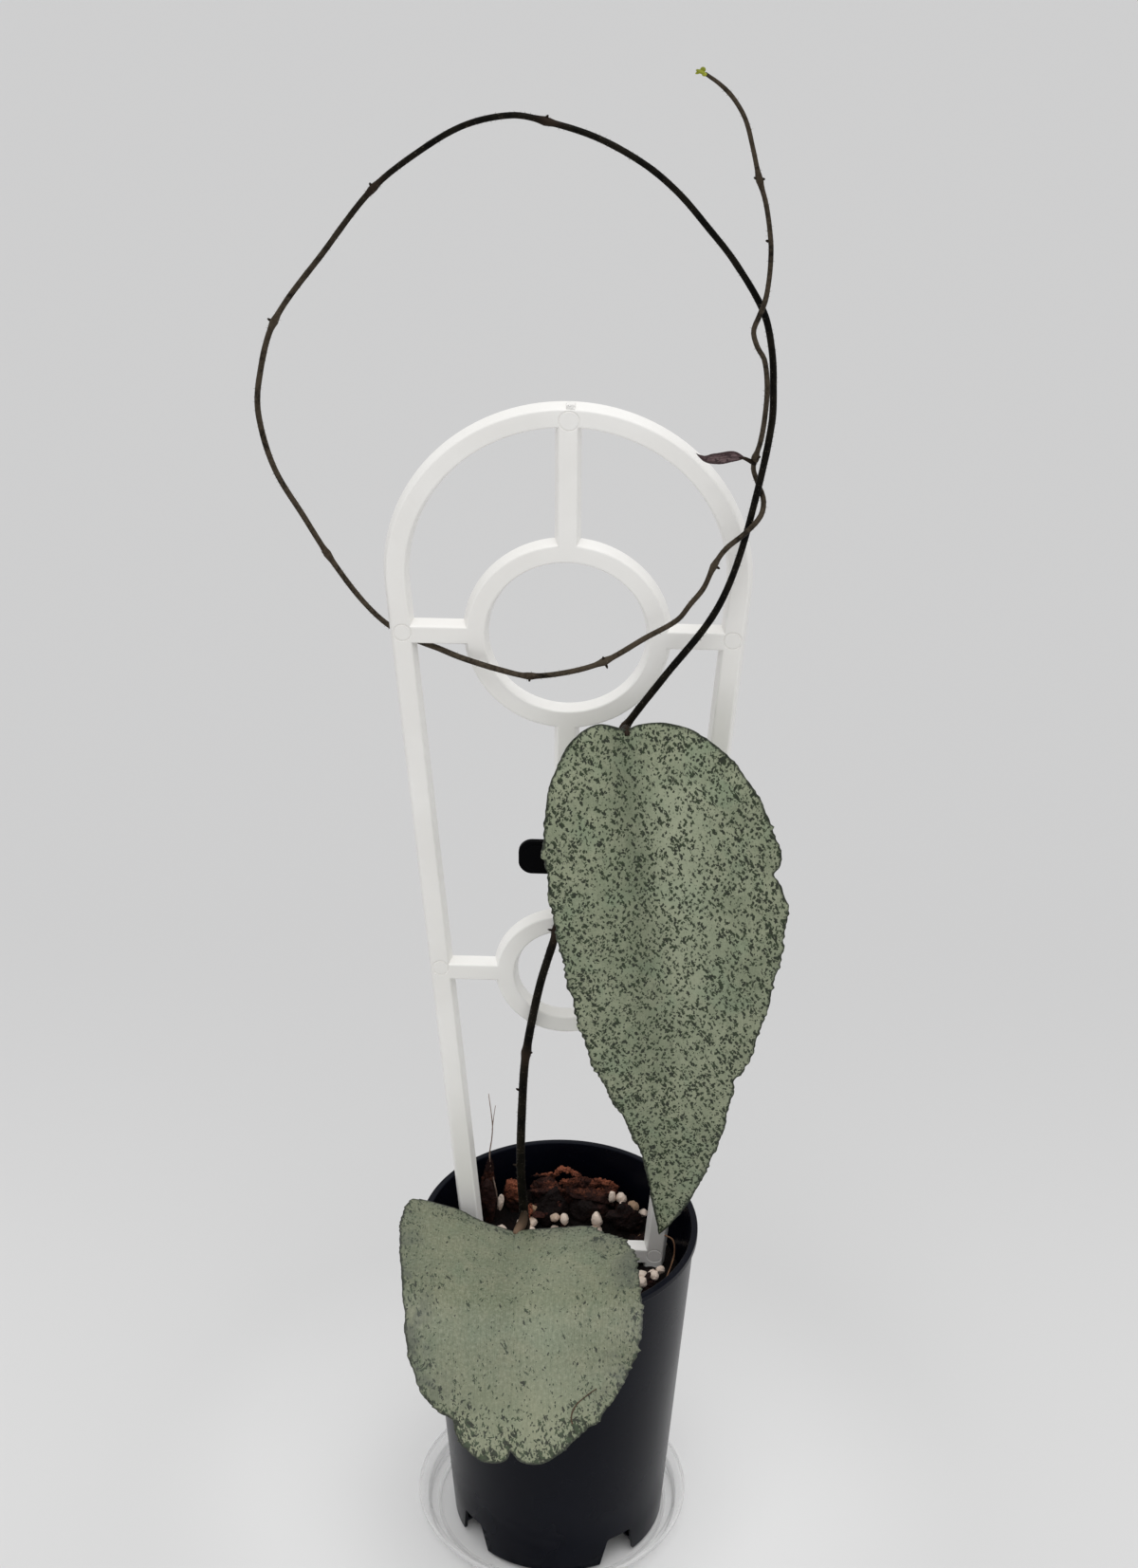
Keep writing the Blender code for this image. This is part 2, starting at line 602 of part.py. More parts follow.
def make_trellis(group):
    """Makes the one-piece trellis as a flat plate with its windows."""
    half = BAR_WIDTH / 2
    tilt = math.atan(STILE_SLOPE)
    arch = (0.0, ARCH_HEIGHT)
    one = (0.0, RING_ONE_HEIGHT)
    two = (0.0, RING_TWO_HEIGHT)
    inner = ARCH_RADIUS - BAR_WIDTH
    bar_low = CROSSBAR_HEIGHT - half
    bar_high = CROSSBAR_HEIGHT + half
    leg = leg_outline(1, 0.0)[1:5]
    outer = arc(arch, ARCH_RADIUS, -tilt, math.pi + tilt)
    outer += [(-x, z) for x, z in reversed(leg)]
    outer += [(-stile_inner(bar_low), bar_low), (stile_inner(bar_low), bar_low)]
    outer += leg

    arch_turn = math.acos(half / inner)
    one_turn = math.asin(half / RING_ONE_RADIUS)
    two_turn = math.asin(half / RING_TWO_RADIUS)
    quarter = math.pi / 2
    spoke = RING_ONE_HEIGHT + half
    top_window = arc(arch, inner, arch_turn, -tilt) + [(stile_inner(spoke), spoke)]
    top_window += arc(one, RING_ONE_RADIUS, one_turn, quarter - one_turn)
    spoke = RING_ONE_HEIGHT - half
    shelf = RING_TWO_HEIGHT + half
    side_window = [(stile_inner(spoke), spoke), (stile_inner(shelf), shelf)]
    side_window += arc(two, RING_TWO_RADIUS, two_turn, quarter - two_turn)
    side_window += arc(one, RING_ONE_RADIUS, one_turn - quarter, -one_turn)
    shelf = RING_TWO_HEIGHT - half
    low_window = [(stile_inner(bar_high), bar_high), (stile_inner(shelf), shelf)]
    low_window += arc(two, RING_TWO_RADIUS, -two_turn, two_turn - math.pi)
    low_window += [(-stile_inner(shelf), shelf), (-stile_inner(bar_high), bar_high)]

    outlines = [outer, low_window]
    for window in (top_window, side_window):
        outlines.append(window)
        outlines.append([(-x, z) for x, z in window])
    outlines.append(arc(one, RING_ONE_RADIUS - BAR_WIDTH, 0.0, 2 * math.pi)[:-1])
    outlines.append(arc(two, RING_TWO_RADIUS - BAR_WIDTH, 0.0, 2 * math.pi)[:-1])
    trellis = flat_plate("trellis", outlines, BAR_DEPTH, group, "white_plastic")
    trellis.location = Vector((TRELLIS_X, TRELLIS_Y, POT_TOP)) * MM
    trellis.rotation_euler.x = math.pi / 2
    return trellis


def make_clip(group, guides):
    """Makes the sprung clip: a jaw round the spoke and stem, and a thumb tab."""
    left = TRELLIS_X - BAR_WIDTH / 2 - GAP
    right = TRELLIS_X + BAR_WIDTH / 2 + GAP
    back = TRELLIS_Y + BAR_DEPTH / 2 + GAP
    front = 4.6
    wall = CLIP_WALL
    mouth_low = 8.2
    mouth_high = 11.6
    jaw = [
        (right, mouth_low - 0.8), (right, front + 0.9), (right - 0.9, front), (left + 0.9, front),
        (left, front + 0.9), (left, back - 0.6), (left + 0.6, back), (right - 0.6, back),
        (right, back - 0.6), (right, mouth_high + 0.8), (right + 0.8, mouth_high),
        (right + wall, mouth_high + 0.9), (right + wall, back + 0.5), (right + 0.5, back + wall),
        (left - 0.5, back + wall), (left - wall, back + 0.5), (left - wall, front - 0.5),
        (left - 0.5, front - wall), (right + 0.5, front - wall), (right + wall, front - 0.5),
        (right + wall, mouth_low - 0.9), (right + 0.8, mouth_low),
    ]
    clip = flat_plate("clip", [jaw], CLIP_HEIGHT, group, "clip_black")
    clip.location.z = (CLIP_Z + CLIP_HEIGHT / 2) * MM
    bpy.context.view_layer.update()
    clip = as_mesh_object(clip, group, "clip_black")
    corner = 3.4
    wide = TAB_WIDTH / 2 - corner
    high = TAB_HEIGHT / 2 - corner
    outline = []
    for x, z, start in ((wide, high, 0.0), (-wide, high, 90.0), (-wide, -high, 180.0),
                        (wide, -high, 270.0)):
        begin = math.radians(start)
        outline += arc((x, z), corner, begin, begin + math.pi / 2)[::3]
    tabs = guide_collection("clip_tab", guides)
    tab = flat_plate("clip_tab_plate", [outline], TAB_THICKNESS, tabs)
    tab.location = Vector((left - wall - TAB_WIDTH / 2 + 2.2, TAB_Y, TAB_Z)) * MM
    tab.rotation_euler.x = math.pi / 2
    bpy.context.view_layer.update()
    hide_guide(as_mesh_object(tab, tabs))
    boolean(clip, "UNION", tabs)
    return clip


def make_vine(group):
    """Makes the stem and vine as one grown tube, swollen at its nodes."""
    _, lengths = smooth_path(VINE_ROUTE, VINE_STEP)
    node_places = {lengths[index]: swell for index, swell in VINE_NODES.items()}
    extra = []
    for distance in node_places:
        extra += [distance - NODE_REACH * 1.5, distance - NODE_REACH * 0.6,
                  distance + NODE_REACH * 0.6, distance + NODE_REACH * 1.5]
    stations, _ = smooth_path(VINE_ROUTE, VINE_STEP, extra)
    places = []
    for distance, (x, y, z, radius) in stations:
        swell = sum(size * math.exp(-((distance - centre) / NODE_REACH) ** 2)
                    for centre, size in node_places.items())
        places.append((x, y, z, radius + swell))
    return tube("vine", places, group, "stem_brown")


def margin_places(margin, rows):
    """Reads a leaf's margin at even shares of its length."""
    padded = [(width, along, 0.0) for width, along in margin]
    length = smooth_path(padded, 1.0)[1][-1]
    return [place[:2] for _, place in smooth_path(padded, length / rows)[0]]


def leaf_mesh(name, midrib, margins, rows, columns, across, fold, wave):
    """Lays a leaf's surface on its midrib as a grid of triangles.

    Each row of the grid runs from the left margin through the midrib to the right
    one. The halves rise from the midrib by fold, which fades towards the tip, and
    the margin waves in and out and up and down by wave, given as a depth and a
    number of waves.
    """
    stations, lengths = smooth_path(midrib, 2.0)
    reach = margins[0][-1][1]
    depth, waves = wave
    frames = []
    for index in range(len(stations)):
        before = Vector(stations[max(index - 1, 0)][1])
        after = Vector(stations[min(index + 1, len(stations) - 1)][1])
        tangent = (after - before).normalized()
        side = (Vector(across) - tangent * tangent.dot(Vector(across))).normalized()
        frames.append((Vector(stations[index][1]), tangent, side, tangent.cross(side)))

    def on_surface(width, along, share, phase):
        """Gives the place of a point of the leaf in space."""
        position = min(max(along / lengths[-1], 0.0), 1.0) * (len(frames) - 1)
        low = min(int(position), len(frames) - 2)
        t = position - low
        origin, tangent, side, up = (a.lerp(b, t) for a, b in zip(frames[low], frames[low + 1]))
        over = along - min(max(along, 0.0), lengths[-1])
        rise = fold[0] * max(0.0, 1.0 - along / fold[1]) + fold[2]
        lift = rise * (math.hypot(width, 5.0) - 5.0)
        lift += 1.2 * depth * share**3 * math.sin(phase + 1.2)
        return origin + tangent * over + side * width + up * lift

    bm = bmesh.new()
    grid = []
    edges = [margin_places(margin, rows) for margin in margins]
    for row in range(rows + 1):
        u = row / rows
        middle = (0.0, reach * u**1.25)
        fade = math.sin(math.pi * u) ** 0.5 if 0 < row < rows else 0.0
        line = []
        for side, edge in ((-1, edges[0]), (1, edges[1])):
            phase = 2 * math.pi * waves * u + (0.0 if side < 0 else 1.9)
            width, along = edge[row]
            width = max(width + depth * fade * math.sin(phase), 0.0)
            half = []
            for column in range(1, columns + 1):
                share = column / columns
                w = side * width * share
                v = middle[1] + (along - middle[1]) * share
                half.append(on_surface(w, v, share, phase if fade else 0.0))
            line.append(half)
        centre = on_surface(0.0, middle[1], 0.0, 0.0)
        places = line[0][::-1] + [centre] + line[1]
        grid.append([bm.verts.new(place * MM) for place in places])
    for row in range(rows):
        for column in range(2 * columns):
            corners = (grid[row][column], grid[row + 1][column],
                       grid[row + 1][column + 1], grid[row][column + 1])
            bm.faces.new(corners)
    bmesh.ops.remove_doubles(bm, verts=bm.verts, dist=0.02 * MM)
    bmesh.ops.triangulate(bm, faces=bm.faces)
    bmesh.ops.recalc_face_normals(bm, faces=bm.faces)
    return mesh_from(bm, name)


def make_leaf(name, mesh, thickness, finish_name, petiole, group, guides):
    """Thickens a leaf's surface and joins its stalk on."""
    leaf = add(name, mesh, group, finish_name)
    solidify = leaf.modifiers.new("Thickness", "SOLIDIFY")
    solidify.thickness = thickness * MM
    solidify.offset = 0.0
    stalks = guide_collection(f"{name}_stalk", guides)
    stalk = tube(f"{name}_petiole", petiole, stalks, None, PETIOLE_SIDES)
    bpy.context.view_layer.update()
    hide_guide(as_mesh_object(stalk, stalks))
    boolean(leaf, "UNION", stalks)
    return leaf


def make_leaves(group, guides):
    """Makes the hanging leaf, the leaf draped over the rim and the young leaf."""
    upper = leaf_mesh("leaf_upper", UPPER_MIDRIB, (UPPER_LEFT, UPPER_RIGHT), 40, 4, (1, 0, 0),
                      (0.20, 260.0, 0.05), (0.55, 13))
    petiole = ((23.1, -0.1, 336.8, 1.5), (23.5, -2.6, 338.4, 1.5), (24, -5.4, 339, 1.6),
               (24.3, -8.6, 337.4, 1.5), (24.8, -9.9, 333, 1.0))
    make_leaf("leaf_upper", upper, LEAF_THICKNESS, "leaf_green", petiole, group, guides)
    lower = leaf_mesh("leaf_lower", LOWER_MIDRIB, (LOWER_LEFT, LOWER_RIGHT), 34, 4, (1, 0, 0),
                      (0.22, 70.0, 0.02), (0.5, 10))
    petiole = ((-11.5, 0.7, 131, 1.5), (-12.4, -1, 131, 1.5), (-13.2, -4.2, 131.5, 1.4),
               (-13.5, -9, 132.4, 0.9))
    make_leaf("leaf_lower", lower, LEAF_THICKNESS, "leaf_pale", petiole, group, guides)
    young = leaf_mesh("leaf_young", YOUNG_MIDRIB, (YOUNG_MARGIN, YOUNG_MARGIN), 10, 2, (0, 0, 1),
                      (0.25, 40.0, 0.05), (0.05, 3))
    petiole = ((59.9, 1.4, 431.7, 0.55), (58.6, 0.8, 432.2, 0.5), (57, 0.3, 432.6, 0.5),
               (55.2, 0.1, 432.7, 0.45))
    make_leaf("leaf_young", young, YOUNG_THICKNESS, "leaf_purple", petiole, group, guides)


def make_roots(group, guides):
    """Makes the dry forked twig and the rootlet by the pot's wall."""
    main = [(*place, TWIG_RADIUS * (1.0 - 0.06 * index)) for index, place in enumerate(TWIG_MAIN)]
    twig = tube("dry_twig", main, group, "dry_root", 6)
    bpy.context.view_layer.update()
    twig = as_mesh_object(twig, group, "dry_root")
    forks = guide_collection("twig_fork", guides)
    fork = tube("twig_fork_tube", [(*place, TWIG_RADIUS * 0.7) for place in TWIG_FORK], forks, None, 6)
    bpy.context.view_layer.update()
    hide_guide(as_mesh_object(fork, forks))
    boolean(twig, "UNION", forks)
    points = [place for _, place in smooth_path(ROOTLET, 4.0)[0]]
    tube("rootlet", [(*place, ROOTLET_RADIUS) for place in points], group, "dry_root", 6)


def main():
    """Builds every piece of the potted plant."""
    clear_objects()
    group = collection("potted_hoya")
    guides = collection("cutters")
    seats = guide_collection("mix_seats", guides)
    make_saucer(group)
    make_pot(group, guides)
    mix = make_mix(group, guides)
    make_loose_pieces(surface_of(mix), group, seats)
    cut_holes(mix, seats)
    make_trellis(group)
    make_clip(group, guides)
    make_vine(group)
    make_leaves(group, guides)
    make_roots(group, guides)


main()
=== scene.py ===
"""Looks of the potted hoya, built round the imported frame.

Sizes are in millimetres and are scaled by MM where a mesh is made. The origin is
the centre of the saucer's underside, +Z is up and the plant's front faces -Y.
"""

import logging
import math
import random
from collections.abc import Callable, Sequence
from dataclasses import dataclass
from enum import Enum

import bmesh
import bpy
from mathutils import Euler, Matrix, Vector, noise
from mathutils.bvhtree import BVHTree
from mathutils.kdtree import KDTree


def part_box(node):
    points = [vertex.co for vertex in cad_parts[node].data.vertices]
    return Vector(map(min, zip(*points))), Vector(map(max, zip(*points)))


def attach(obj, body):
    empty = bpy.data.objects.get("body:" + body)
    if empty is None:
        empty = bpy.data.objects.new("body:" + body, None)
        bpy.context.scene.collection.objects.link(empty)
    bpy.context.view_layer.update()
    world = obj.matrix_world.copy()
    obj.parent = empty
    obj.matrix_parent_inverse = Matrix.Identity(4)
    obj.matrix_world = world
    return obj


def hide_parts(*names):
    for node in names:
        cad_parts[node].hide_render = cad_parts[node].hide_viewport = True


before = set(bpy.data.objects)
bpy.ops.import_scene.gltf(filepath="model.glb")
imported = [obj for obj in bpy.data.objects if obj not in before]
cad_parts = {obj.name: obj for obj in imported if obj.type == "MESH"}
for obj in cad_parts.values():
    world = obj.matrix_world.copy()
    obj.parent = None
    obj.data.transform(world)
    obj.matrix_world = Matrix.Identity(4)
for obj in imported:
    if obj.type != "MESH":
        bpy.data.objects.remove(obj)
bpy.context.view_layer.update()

MM = 0.001
BODY = "root"
LEAF_WIDE = 200.0
LEAF_LONG = 230.0
LEAF_START = 0.05
FRONT = Vector((0.0, -0.75, 0.65))
Colour = tuple[float, float, float]
Point = tuple[float, float, float]
log = logging.getLogger("potted_hoya")


class Value:
    """A node's socket that adds maths nodes when it is used in an expression."""

    def __init__(self, graph: "Graph", socket: bpy.types.NodeSocket) -> None:
        """Holds the socket and the graph that it is in."""
        self.graph = graph
        self.socket = socket

    def maths(self, operation: str, *others: "Value | float", swap: bool = False) -> "Value":
        """Adds one maths node.

        Args:
            operation: the node's operation.
            others: its other inputs.
            swap: puts this value last instead of first.

        Returns:
            The node's result.
        """
        terms = [*others, self] if swap else [self, *others]
        return self.graph.node("ShaderNodeMath", {"operation": operation}, dict(enumerate(terms)))

    def __add__(self, other: "Value | float") -> "Value":
        """Adds."""
        return self.maths("ADD", other)

    def __radd__(self, other: float) -> "Value":
        """Adds to a number."""
        return self.maths("ADD", other, swap=True)

    def __sub__(self, other: "Value | float") -> "Value":
        """Takes away."""
        return self.maths("SUBTRACT", other)

    def __rsub__(self, other: float) -> "Value":
        """Takes away from a number."""
        return self.maths("SUBTRACT", other, swap=True)

    def __mul__(self, other: "Value | float") -> "Value":
        """Multiplies."""
        return self.maths("MULTIPLY", other)

    def __rmul__(self, other: float) -> "Value":
        """Multiplies a number."""
        return self.maths("MULTIPLY", other, swap=True)

    def __truediv__(self, other: "Value | float") -> "Value":
        """Divides."""
        return self.maths("DIVIDE", other)

    def __rtruediv__(self, other: float) -> "Value":
        """Divides a number."""
        return self.maths("DIVIDE", other, swap=True)

    def __pow__(self, other: float) -> "Value":
        """Raises to a power."""
        return self.maths("POWER", other)

    def sine(self) -> "Value":
        """Takes the sine."""
        return self.maths("SINE")

    def least(self, other: "Value | float") -> "Value":
        """Takes the smaller of two."""
        return self.maths("MINIMUM", other)

    def most(self, other: "Value | float") -> "Value":
        """Takes the larger of two."""
        return self.maths("MAXIMUM", other)

    def step(self, low: float, high: float) -> "Value":
        """Rises smoothly from 0 at low to 1 at high, or falls if high is the smaller.

        Args:
            low: where the result is 0.
            high: where the result is 1.

        Returns:
            The result, held between 0 and 1.
        """
        start, end, first, last = (low, high, 0.0, 1.0) if low < high else (high, low, 1.0, 0.0)
        inputs = {0: self, 1: start, 2: end, 3: first, 4: last}
        settings = {"interpolation_type": "SMOOTHSTEP"}
        return self.graph.node("ShaderNodeMapRange", settings, inputs)


class Graph:
    """The node graph of one material."""

    def __init__(self, name: str) -> None:
        """Starts a material that holds only its output."""
        self.material = bpy.data.materials.new(name)
        self.material.use_nodes = True
        self.tree = self.material.node_tree
        self.tree.nodes.clear()
        self.output = self.tree.nodes.new("ShaderNodeOutputMaterial")

    def node(self, kind: str, settings: dict | None = None, inputs: dict | None = None,
             output: int | str = 0) -> Value:
        """Adds any node.

        Args:
            kind: the node's type.
            settings: its properties, set first. A ramp's stops come as "stops".
            inputs: numbers, colours or values for its sockets, by name or place.
            output: which result to return, by name or place.

        Returns:
            The chosen result.
        """
        made = self.tree.nodes.new(kind)
        for key, setting in (settings or {}).items():
            if key == "stops":
                self.set_stops(made.color_ramp, setting)
            else:
                setattr(made, key, setting)
        for key, given in (inputs or {}).items():
            if isinstance(given, Value):
                self.tree.links.new(given.socket, made.inputs[key])
            elif isinstance(given, tuple) and len(given) == 3 and made.inputs[key].type == "RGBA":
                made.inputs[key].default_value = (*given, 1.0)
            else:
                made.inputs[key].default_value = given
        return Value(self, made.outputs[output])

    @staticmethod
    def set_stops(ramp: bpy.types.ColorRamp, stops: Sequence[tuple[float, Colour]]) -> None:
        """Gives a colour ramp its stops.

        Args:
            ramp: the ramp.
            stops: places from 0 to 1 with their colours.
        """
        while len(ramp.elements) > 1:
            ramp.elements.remove(ramp.elements[-1])
        ramp.elements[0].position = stops[0][0]
        ramp.elements[0].color = (*stops[0][1], 1.0)
        for place, colour in stops[1:]:
            ramp.elements.new(place).color = (*colour, 1.0)

    def coordinates(self, which: str = "Object", scale: Point = (1, 1, 1), turn: float = 0.0) -> Value:
        """Gives coordinates to lay a pattern on.

        Args:
            which: Object or UV.
            scale: stretch along each axis, where a larger number makes a finer pattern.
            turn: turn about Z in degrees, made before the stretch.

        Returns:
            The coordinates.
        """
        plain = self.node("ShaderNodeTexCoord", output=which)
        if turn:
            inputs = {"Vector": plain, "Rotation": (0, 0, math.radians(turn))}
            plain = self.node("ShaderNodeMapping", None, inputs)
        return self.node("ShaderNodeMapping", None, {"Vector": plain, "Scale": scale})

    def attribute(self, name: str) -> Value:
        """Reads a number that the mesh holds at its points."""
        return self.node("ShaderNodeAttribute", {"attribute_name": name}, output="Fac")

    def noise(self, where: Value, scale: float, detail: float = 2.0, rough: float = 0.5,
              warp: float = 0.0) -> Value:
        """Adds a cloudy pattern.

        Args:
            where: coordinates.
            scale: clouds per metre of coordinates.
            detail: how many finer layers it has.
            rough: how strong the finer layers are.
            warp: how much the clouds are distorted.

        Returns:
            A number round 0.5.
        """
        inputs = {"Vector": where, "Scale": scale, "Detail": detail, "Roughness": rough,
                  "Distortion": warp}
        return self.node("ShaderNodeTexNoise", None, inputs)

    def cells(self, where: Value, scale: float, feature: str = "F1", output: str = "Distance",
              scatter: float = 1.0) -> Value:
        """Adds a pattern of cells.

        Args:
            where: coordinates.
            scale: cells per metre of coordinates.
            feature: which distance is measured.
            output: Distance or Color.
            scatter: how irregular the cells are.

        Returns:
            The distance or the cell's own colour.
        """
        inputs = {"Vector": where, "Scale": scale, "Randomness": scatter}
        return self.node("ShaderNodeTexVoronoi", {"feature": feature}, inputs, output)

    def mix(self, share: Value | float, first: Value | Colour, second: Value | Colour,
            blend: str = "MIX") -> Value:
        """Mixes two colours.

        Args:
            share: how much of the second shows.
            first: the first colour.
            second: the second colour.
            blend: the way they are blended.

        Returns:
            The mixed colour.
        """
        settings = {"data_type": "RGBA", "blend_type": blend, "clamp_factor": True}
        return self.node("ShaderNodeMix", settings, {0: share, 6: first, 7: second}, 2)

    def bump(self, height: Value, depth: float, strength: float = 1.0,
             under: Value | None = None) -> Value:
        """Turns a height into a bumped normal.

        Args:
            height: the pattern.
            depth: how far it rises, in millimetres.
            strength: how strongly it shows.
            under: another bump that it lies on.

        Returns:
            The normal.
        """
        inputs = {"Height": height, "Distance": depth * MM, "Strength": strength}
        if under is not None:
            inputs["Normal"] = under
        return self.node("ShaderNodeBump", None, inputs)

    def surface(self, **inputs: Value | float | Colour) -> bpy.types.Material:
        """Ends the graph in a Principled shader.

        Args:
            inputs: the shader's sockets, with underscores for the spaces in their names.

        Returns:
            The finished material.
        """
        named = {key.replace("_", " "): given for key, given in inputs.items()}
        shader = self.node("ShaderNodeBsdfPrincipled", None, named)
        self.tree.links.new(shader.socket, self.output.inputs["Surface"])
        return self.material


@dataclass(frozen=True)
class LeafFinish:
    """A grey-green leaf with dark flecks and a thin dark margin, which is painted shade on its edge; it
    also has painted shade along its fold and margin, and painted highlights on its fold and tip.
    """

    name: str
    green: Colour
    pale: Colour
    mint: Colour
    fleck: Colour
    rim: Colour
    fleck_edge: float
    dot_edge: float
    streaks: float
    roughness: float
    stretch: float = 1.0
    margin_crowd: float = 0.02
    # Strength of the painted shade beside the midrib, and of the painted highlight on the fold's lit side.
    valley_shade: float = 0.20
    # How far from the stalk the painted shade line in the midrib's crease reaches.
    crease: float = 12.0
    minty: float = 0.4
    spot_edge: float = 0.60
    tip_crowd: float = 0.0
    grit: float = 0.26
    # Strength of the painted shade along the margin, where the blade curves away from the light.
    margin_shade: float = 0.0
    # Strength of the painted highlight on the tip, which leans towards the light.
    painted_tip_light: float = 0.0
    loose_edge: float = 0.62

    def flecks(self, graph: Graph, crowd: Value) -> Value:
        """Draws the short flecks, which lie in two directions, and the dots between them.

        Args:
            graph: the material's graph.
            crowd: how crowded the flecks are.

        Returns:
            Their mask.
        """
        ragged = graph.noise(graph.coordinates("UV"), 360.0, 3.0, 0.65, 0.6)
        loose = graph.noise(graph.coordinates("UV", (1.0, 0.8, 1.0), 40.0), 118.0, 2.0, 0.65, 0.6)
        marks = (loose + crowd).step(self.loose_edge, self.loose_edge + 0.03)
        for turn, wide, scale, size, edge in ((32.0, 1.8, 84.0, 0.37, self.fleck_edge),
                                              (-40.0, 1.6, 112.0, 0.36, self.fleck_edge),
                                              (5.0, 1.1, 185.0, 0.30, self.dot_edge)):
            stretch = (wide * self.stretch, 1.0 / self.stretch, 1.0)
            where = graph.coordinates("UV", stretch, turn / self.stretch**2)
            chosen = graph.cells(where, scale, output="Color") + crowd * 2.4
            near = graph.cells(where, scale) + (ragged - 0.5) * 1.15 - (chosen - edge) * 0.28
            layer = near.step(size - 0.02, size - 0.10) * chosen.step(edge, edge + 0.03)
            marks = marks.most(layer)
        return marks

    def large_spots(self, graph: Graph, fine: Value) -> Value:
        """Draws the few larger ragged spots.

        Args:
            graph: the material's graph.
            fine: the fine pattern that makes them ragged.

        Returns:
            Their mask.
        """
        where = graph.coordinates("UV", (1.8, 0.9, 1.0), 25.0)
        chosen = graph.cells(where, 24.0, output="Color")
        chosen = chosen.step(self.spot_edge, self.spot_edge + 0.02)
        ragged = graph.noise(graph.coordinates("UV", (1.6, 0.8, 1.0), 35.0), 190.0, 2.0, 0.6, 0.8)
        near = graph.cells(where, 24.0) + (ragged - 0.5) * 1.1 + (fine - 0.5) * 0.2
        return near.step(0.15, 0.10) * chosen

    def make(self) -> bpy.types.Material:
        """Builds the leaf's material on the leaf's own flat coordinates."""
        graph = Graph(self.name)
        flat = graph.coordinates("UV")
        rim = graph.attribute("rim")
        broad = graph.noise(flat, 9.0, 3.0, 0.55, 0.4)
        middle = graph.noise(flat, 38.0, 3.0, 0.6, 0.6)
        fine = graph.noise(flat, 420.0, 3.0, 0.65)
        colour = graph.mix((broad * 0.5 + middle * 0.5).step(0.38, 0.62), self.green, self.pale)
        mint = graph.noise(graph.coordinates("UV", (1.0, 0.8, 1.0), 60.0), 16.0, 2.0, 0.5, 0.6)
        colour = graph.mix(mint.step(0.50, 0.68) * self.minty, colour, self.mint)
        along = graph.noise(graph.coordinates("UV", (430.0, 34.0, 1.0)), 1.0, 3.0, 0.6, 0.5)
        colour = graph.mix(along.step(0.58, 0.36) * self.streaks, colour, self.fleck)
        colour = graph.mix(fine.step(0.46, 0.68) * 0.20, colour, self.fleck)
        colour = graph.mix(fine.step(0.46, 0.30) * 0.12, colour, (0.42, 0.44, 0.34))
        grainy = graph.noise(flat, 175.0, 2.0, 0.6)
        colour = graph.mix(grainy.step(0.50, 0.70) * self.grit, colour, self.fleck)
        colour = graph.mix(grainy.step(0.50, 0.32) * (0.6 * self.grit), colour, (0.42, 0.44, 0.34))

        place = graph.node("ShaderNodeTexCoord", output="UV")
        across = graph.node("ShaderNodeSeparateXYZ", None, {0: place}, "X")
        along_leaf = graph.node("ShaderNodeSeparateXYZ", None, {0: place}, "Y")
        off = (across - 0.5 + (broad - 0.5) * 0.012).maths("ABSOLUTE") * LEAF_WIDE
        reach = (along_leaf - LEAF_START) * LEAF_LONG
        beside = (across - 0.489 + (broad - 0.5) * 0.02).maths("ABSOLUTE") * LEAF_WIDE
        # Painted shade: a broad band along the midrib, a little to its left, is darkened as the shade of
        # the fold, and a thin dark line is painted in the midrib's crease near the stalk.
        valley_shade = beside.step(10.0, 0.0) * reach.step(LEAF_LONG * 0.85, 10.0) * self.valley_shade
        line = off.step(0.75, 0.1) * reach.step(self.crease, 2.0) * 0.55
        colour = graph.mix(valley_shade.most(line), colour, self.fleck)
        # Painted highlight: the lit side of the fold, right of the midrib, is paled.
        fold_highlight = ((across - 0.565).maths("ABSOLUTE") * LEAF_WIDE).step(17.0, 0.0)
        fold_highlight = fold_highlight * reach.step(LEAF_LONG * 0.75, 20.0) * reach.step(4.0, 30.0)
        colour = graph.mix(fold_highlight * self.valley_shade * 1.3, colour, (0.42, 0.455, 0.325))
        # Painted highlight: the tip, which leans towards the light, is paled.
        colour = graph.mix(reach.step(62.0, 90.0) * self.painted_tip_light, colour, (0.330, 0.345, 0.235))

        crowd = (graph.noise(flat, 13.0, 2.0, 0.6, 0.5) - 0.5) * 0.14
        crowd = crowd + (graph.noise(flat, 46.0, 1.0) - 0.5) * 0.12
        crowd = crowd + rim.step(13.0, 0.0) * self.margin_crowd
        crowd = crowd + reach.step(66.0, 96.0) * self.tip_crowd
        marks = self.flecks(graph, crowd).most(self.large_spots(graph, fine))
        tone = graph.mix(graph.noise(flat, 95.0, 1.0).step(0.4, 0.6), self.fleck, self.rim)
        colour = graph.mix(marks * 0.96, colour, tone)

        # Painted shade: patchy darkening along the margin, where the blade curves away from the light,
        # fading out towards the tip.
        cloudy = graph.noise(flat, 22.0, 3.0, 0.6, 0.5).step(0.46, 0.62) * reach.step(5.0, 25.0)
        cloudy = (cloudy * 0.75 + 0.25) * reach.step(88.0, 66.0)
        colour = graph.mix(rim.step(15.0, 1.0) * cloudy * self.margin_shade, colour, (0.072, 0.080, 0.064))
        # Painted shade: a thin dark line along the margin, for the shade on the blade's edge.
        ragged = rim + (graph.noise(flat, 160.0, 2.0) - 0.5) * 1.6
        colour = graph.mix(ragged.step(1.15, 0.3) * 0.9, colour, self.rim)
        pores = graph.noise(flat, 1000.0, 2.0, 0.6)
        normal = graph.bump(pores, 0.05, 0.6)
        normal = graph.bump(middle * 0.5 + along * 0.25 + fine * 0.25, 0.3, 0.55, normal)
        gloss = self.roughness + (fine - 0.5) * 0.12 + marks * 0.05
        return graph.surface(Base_Color=colour, Roughness=gloss, Normal=normal,
                             Specular_IOR_Level=0.35)


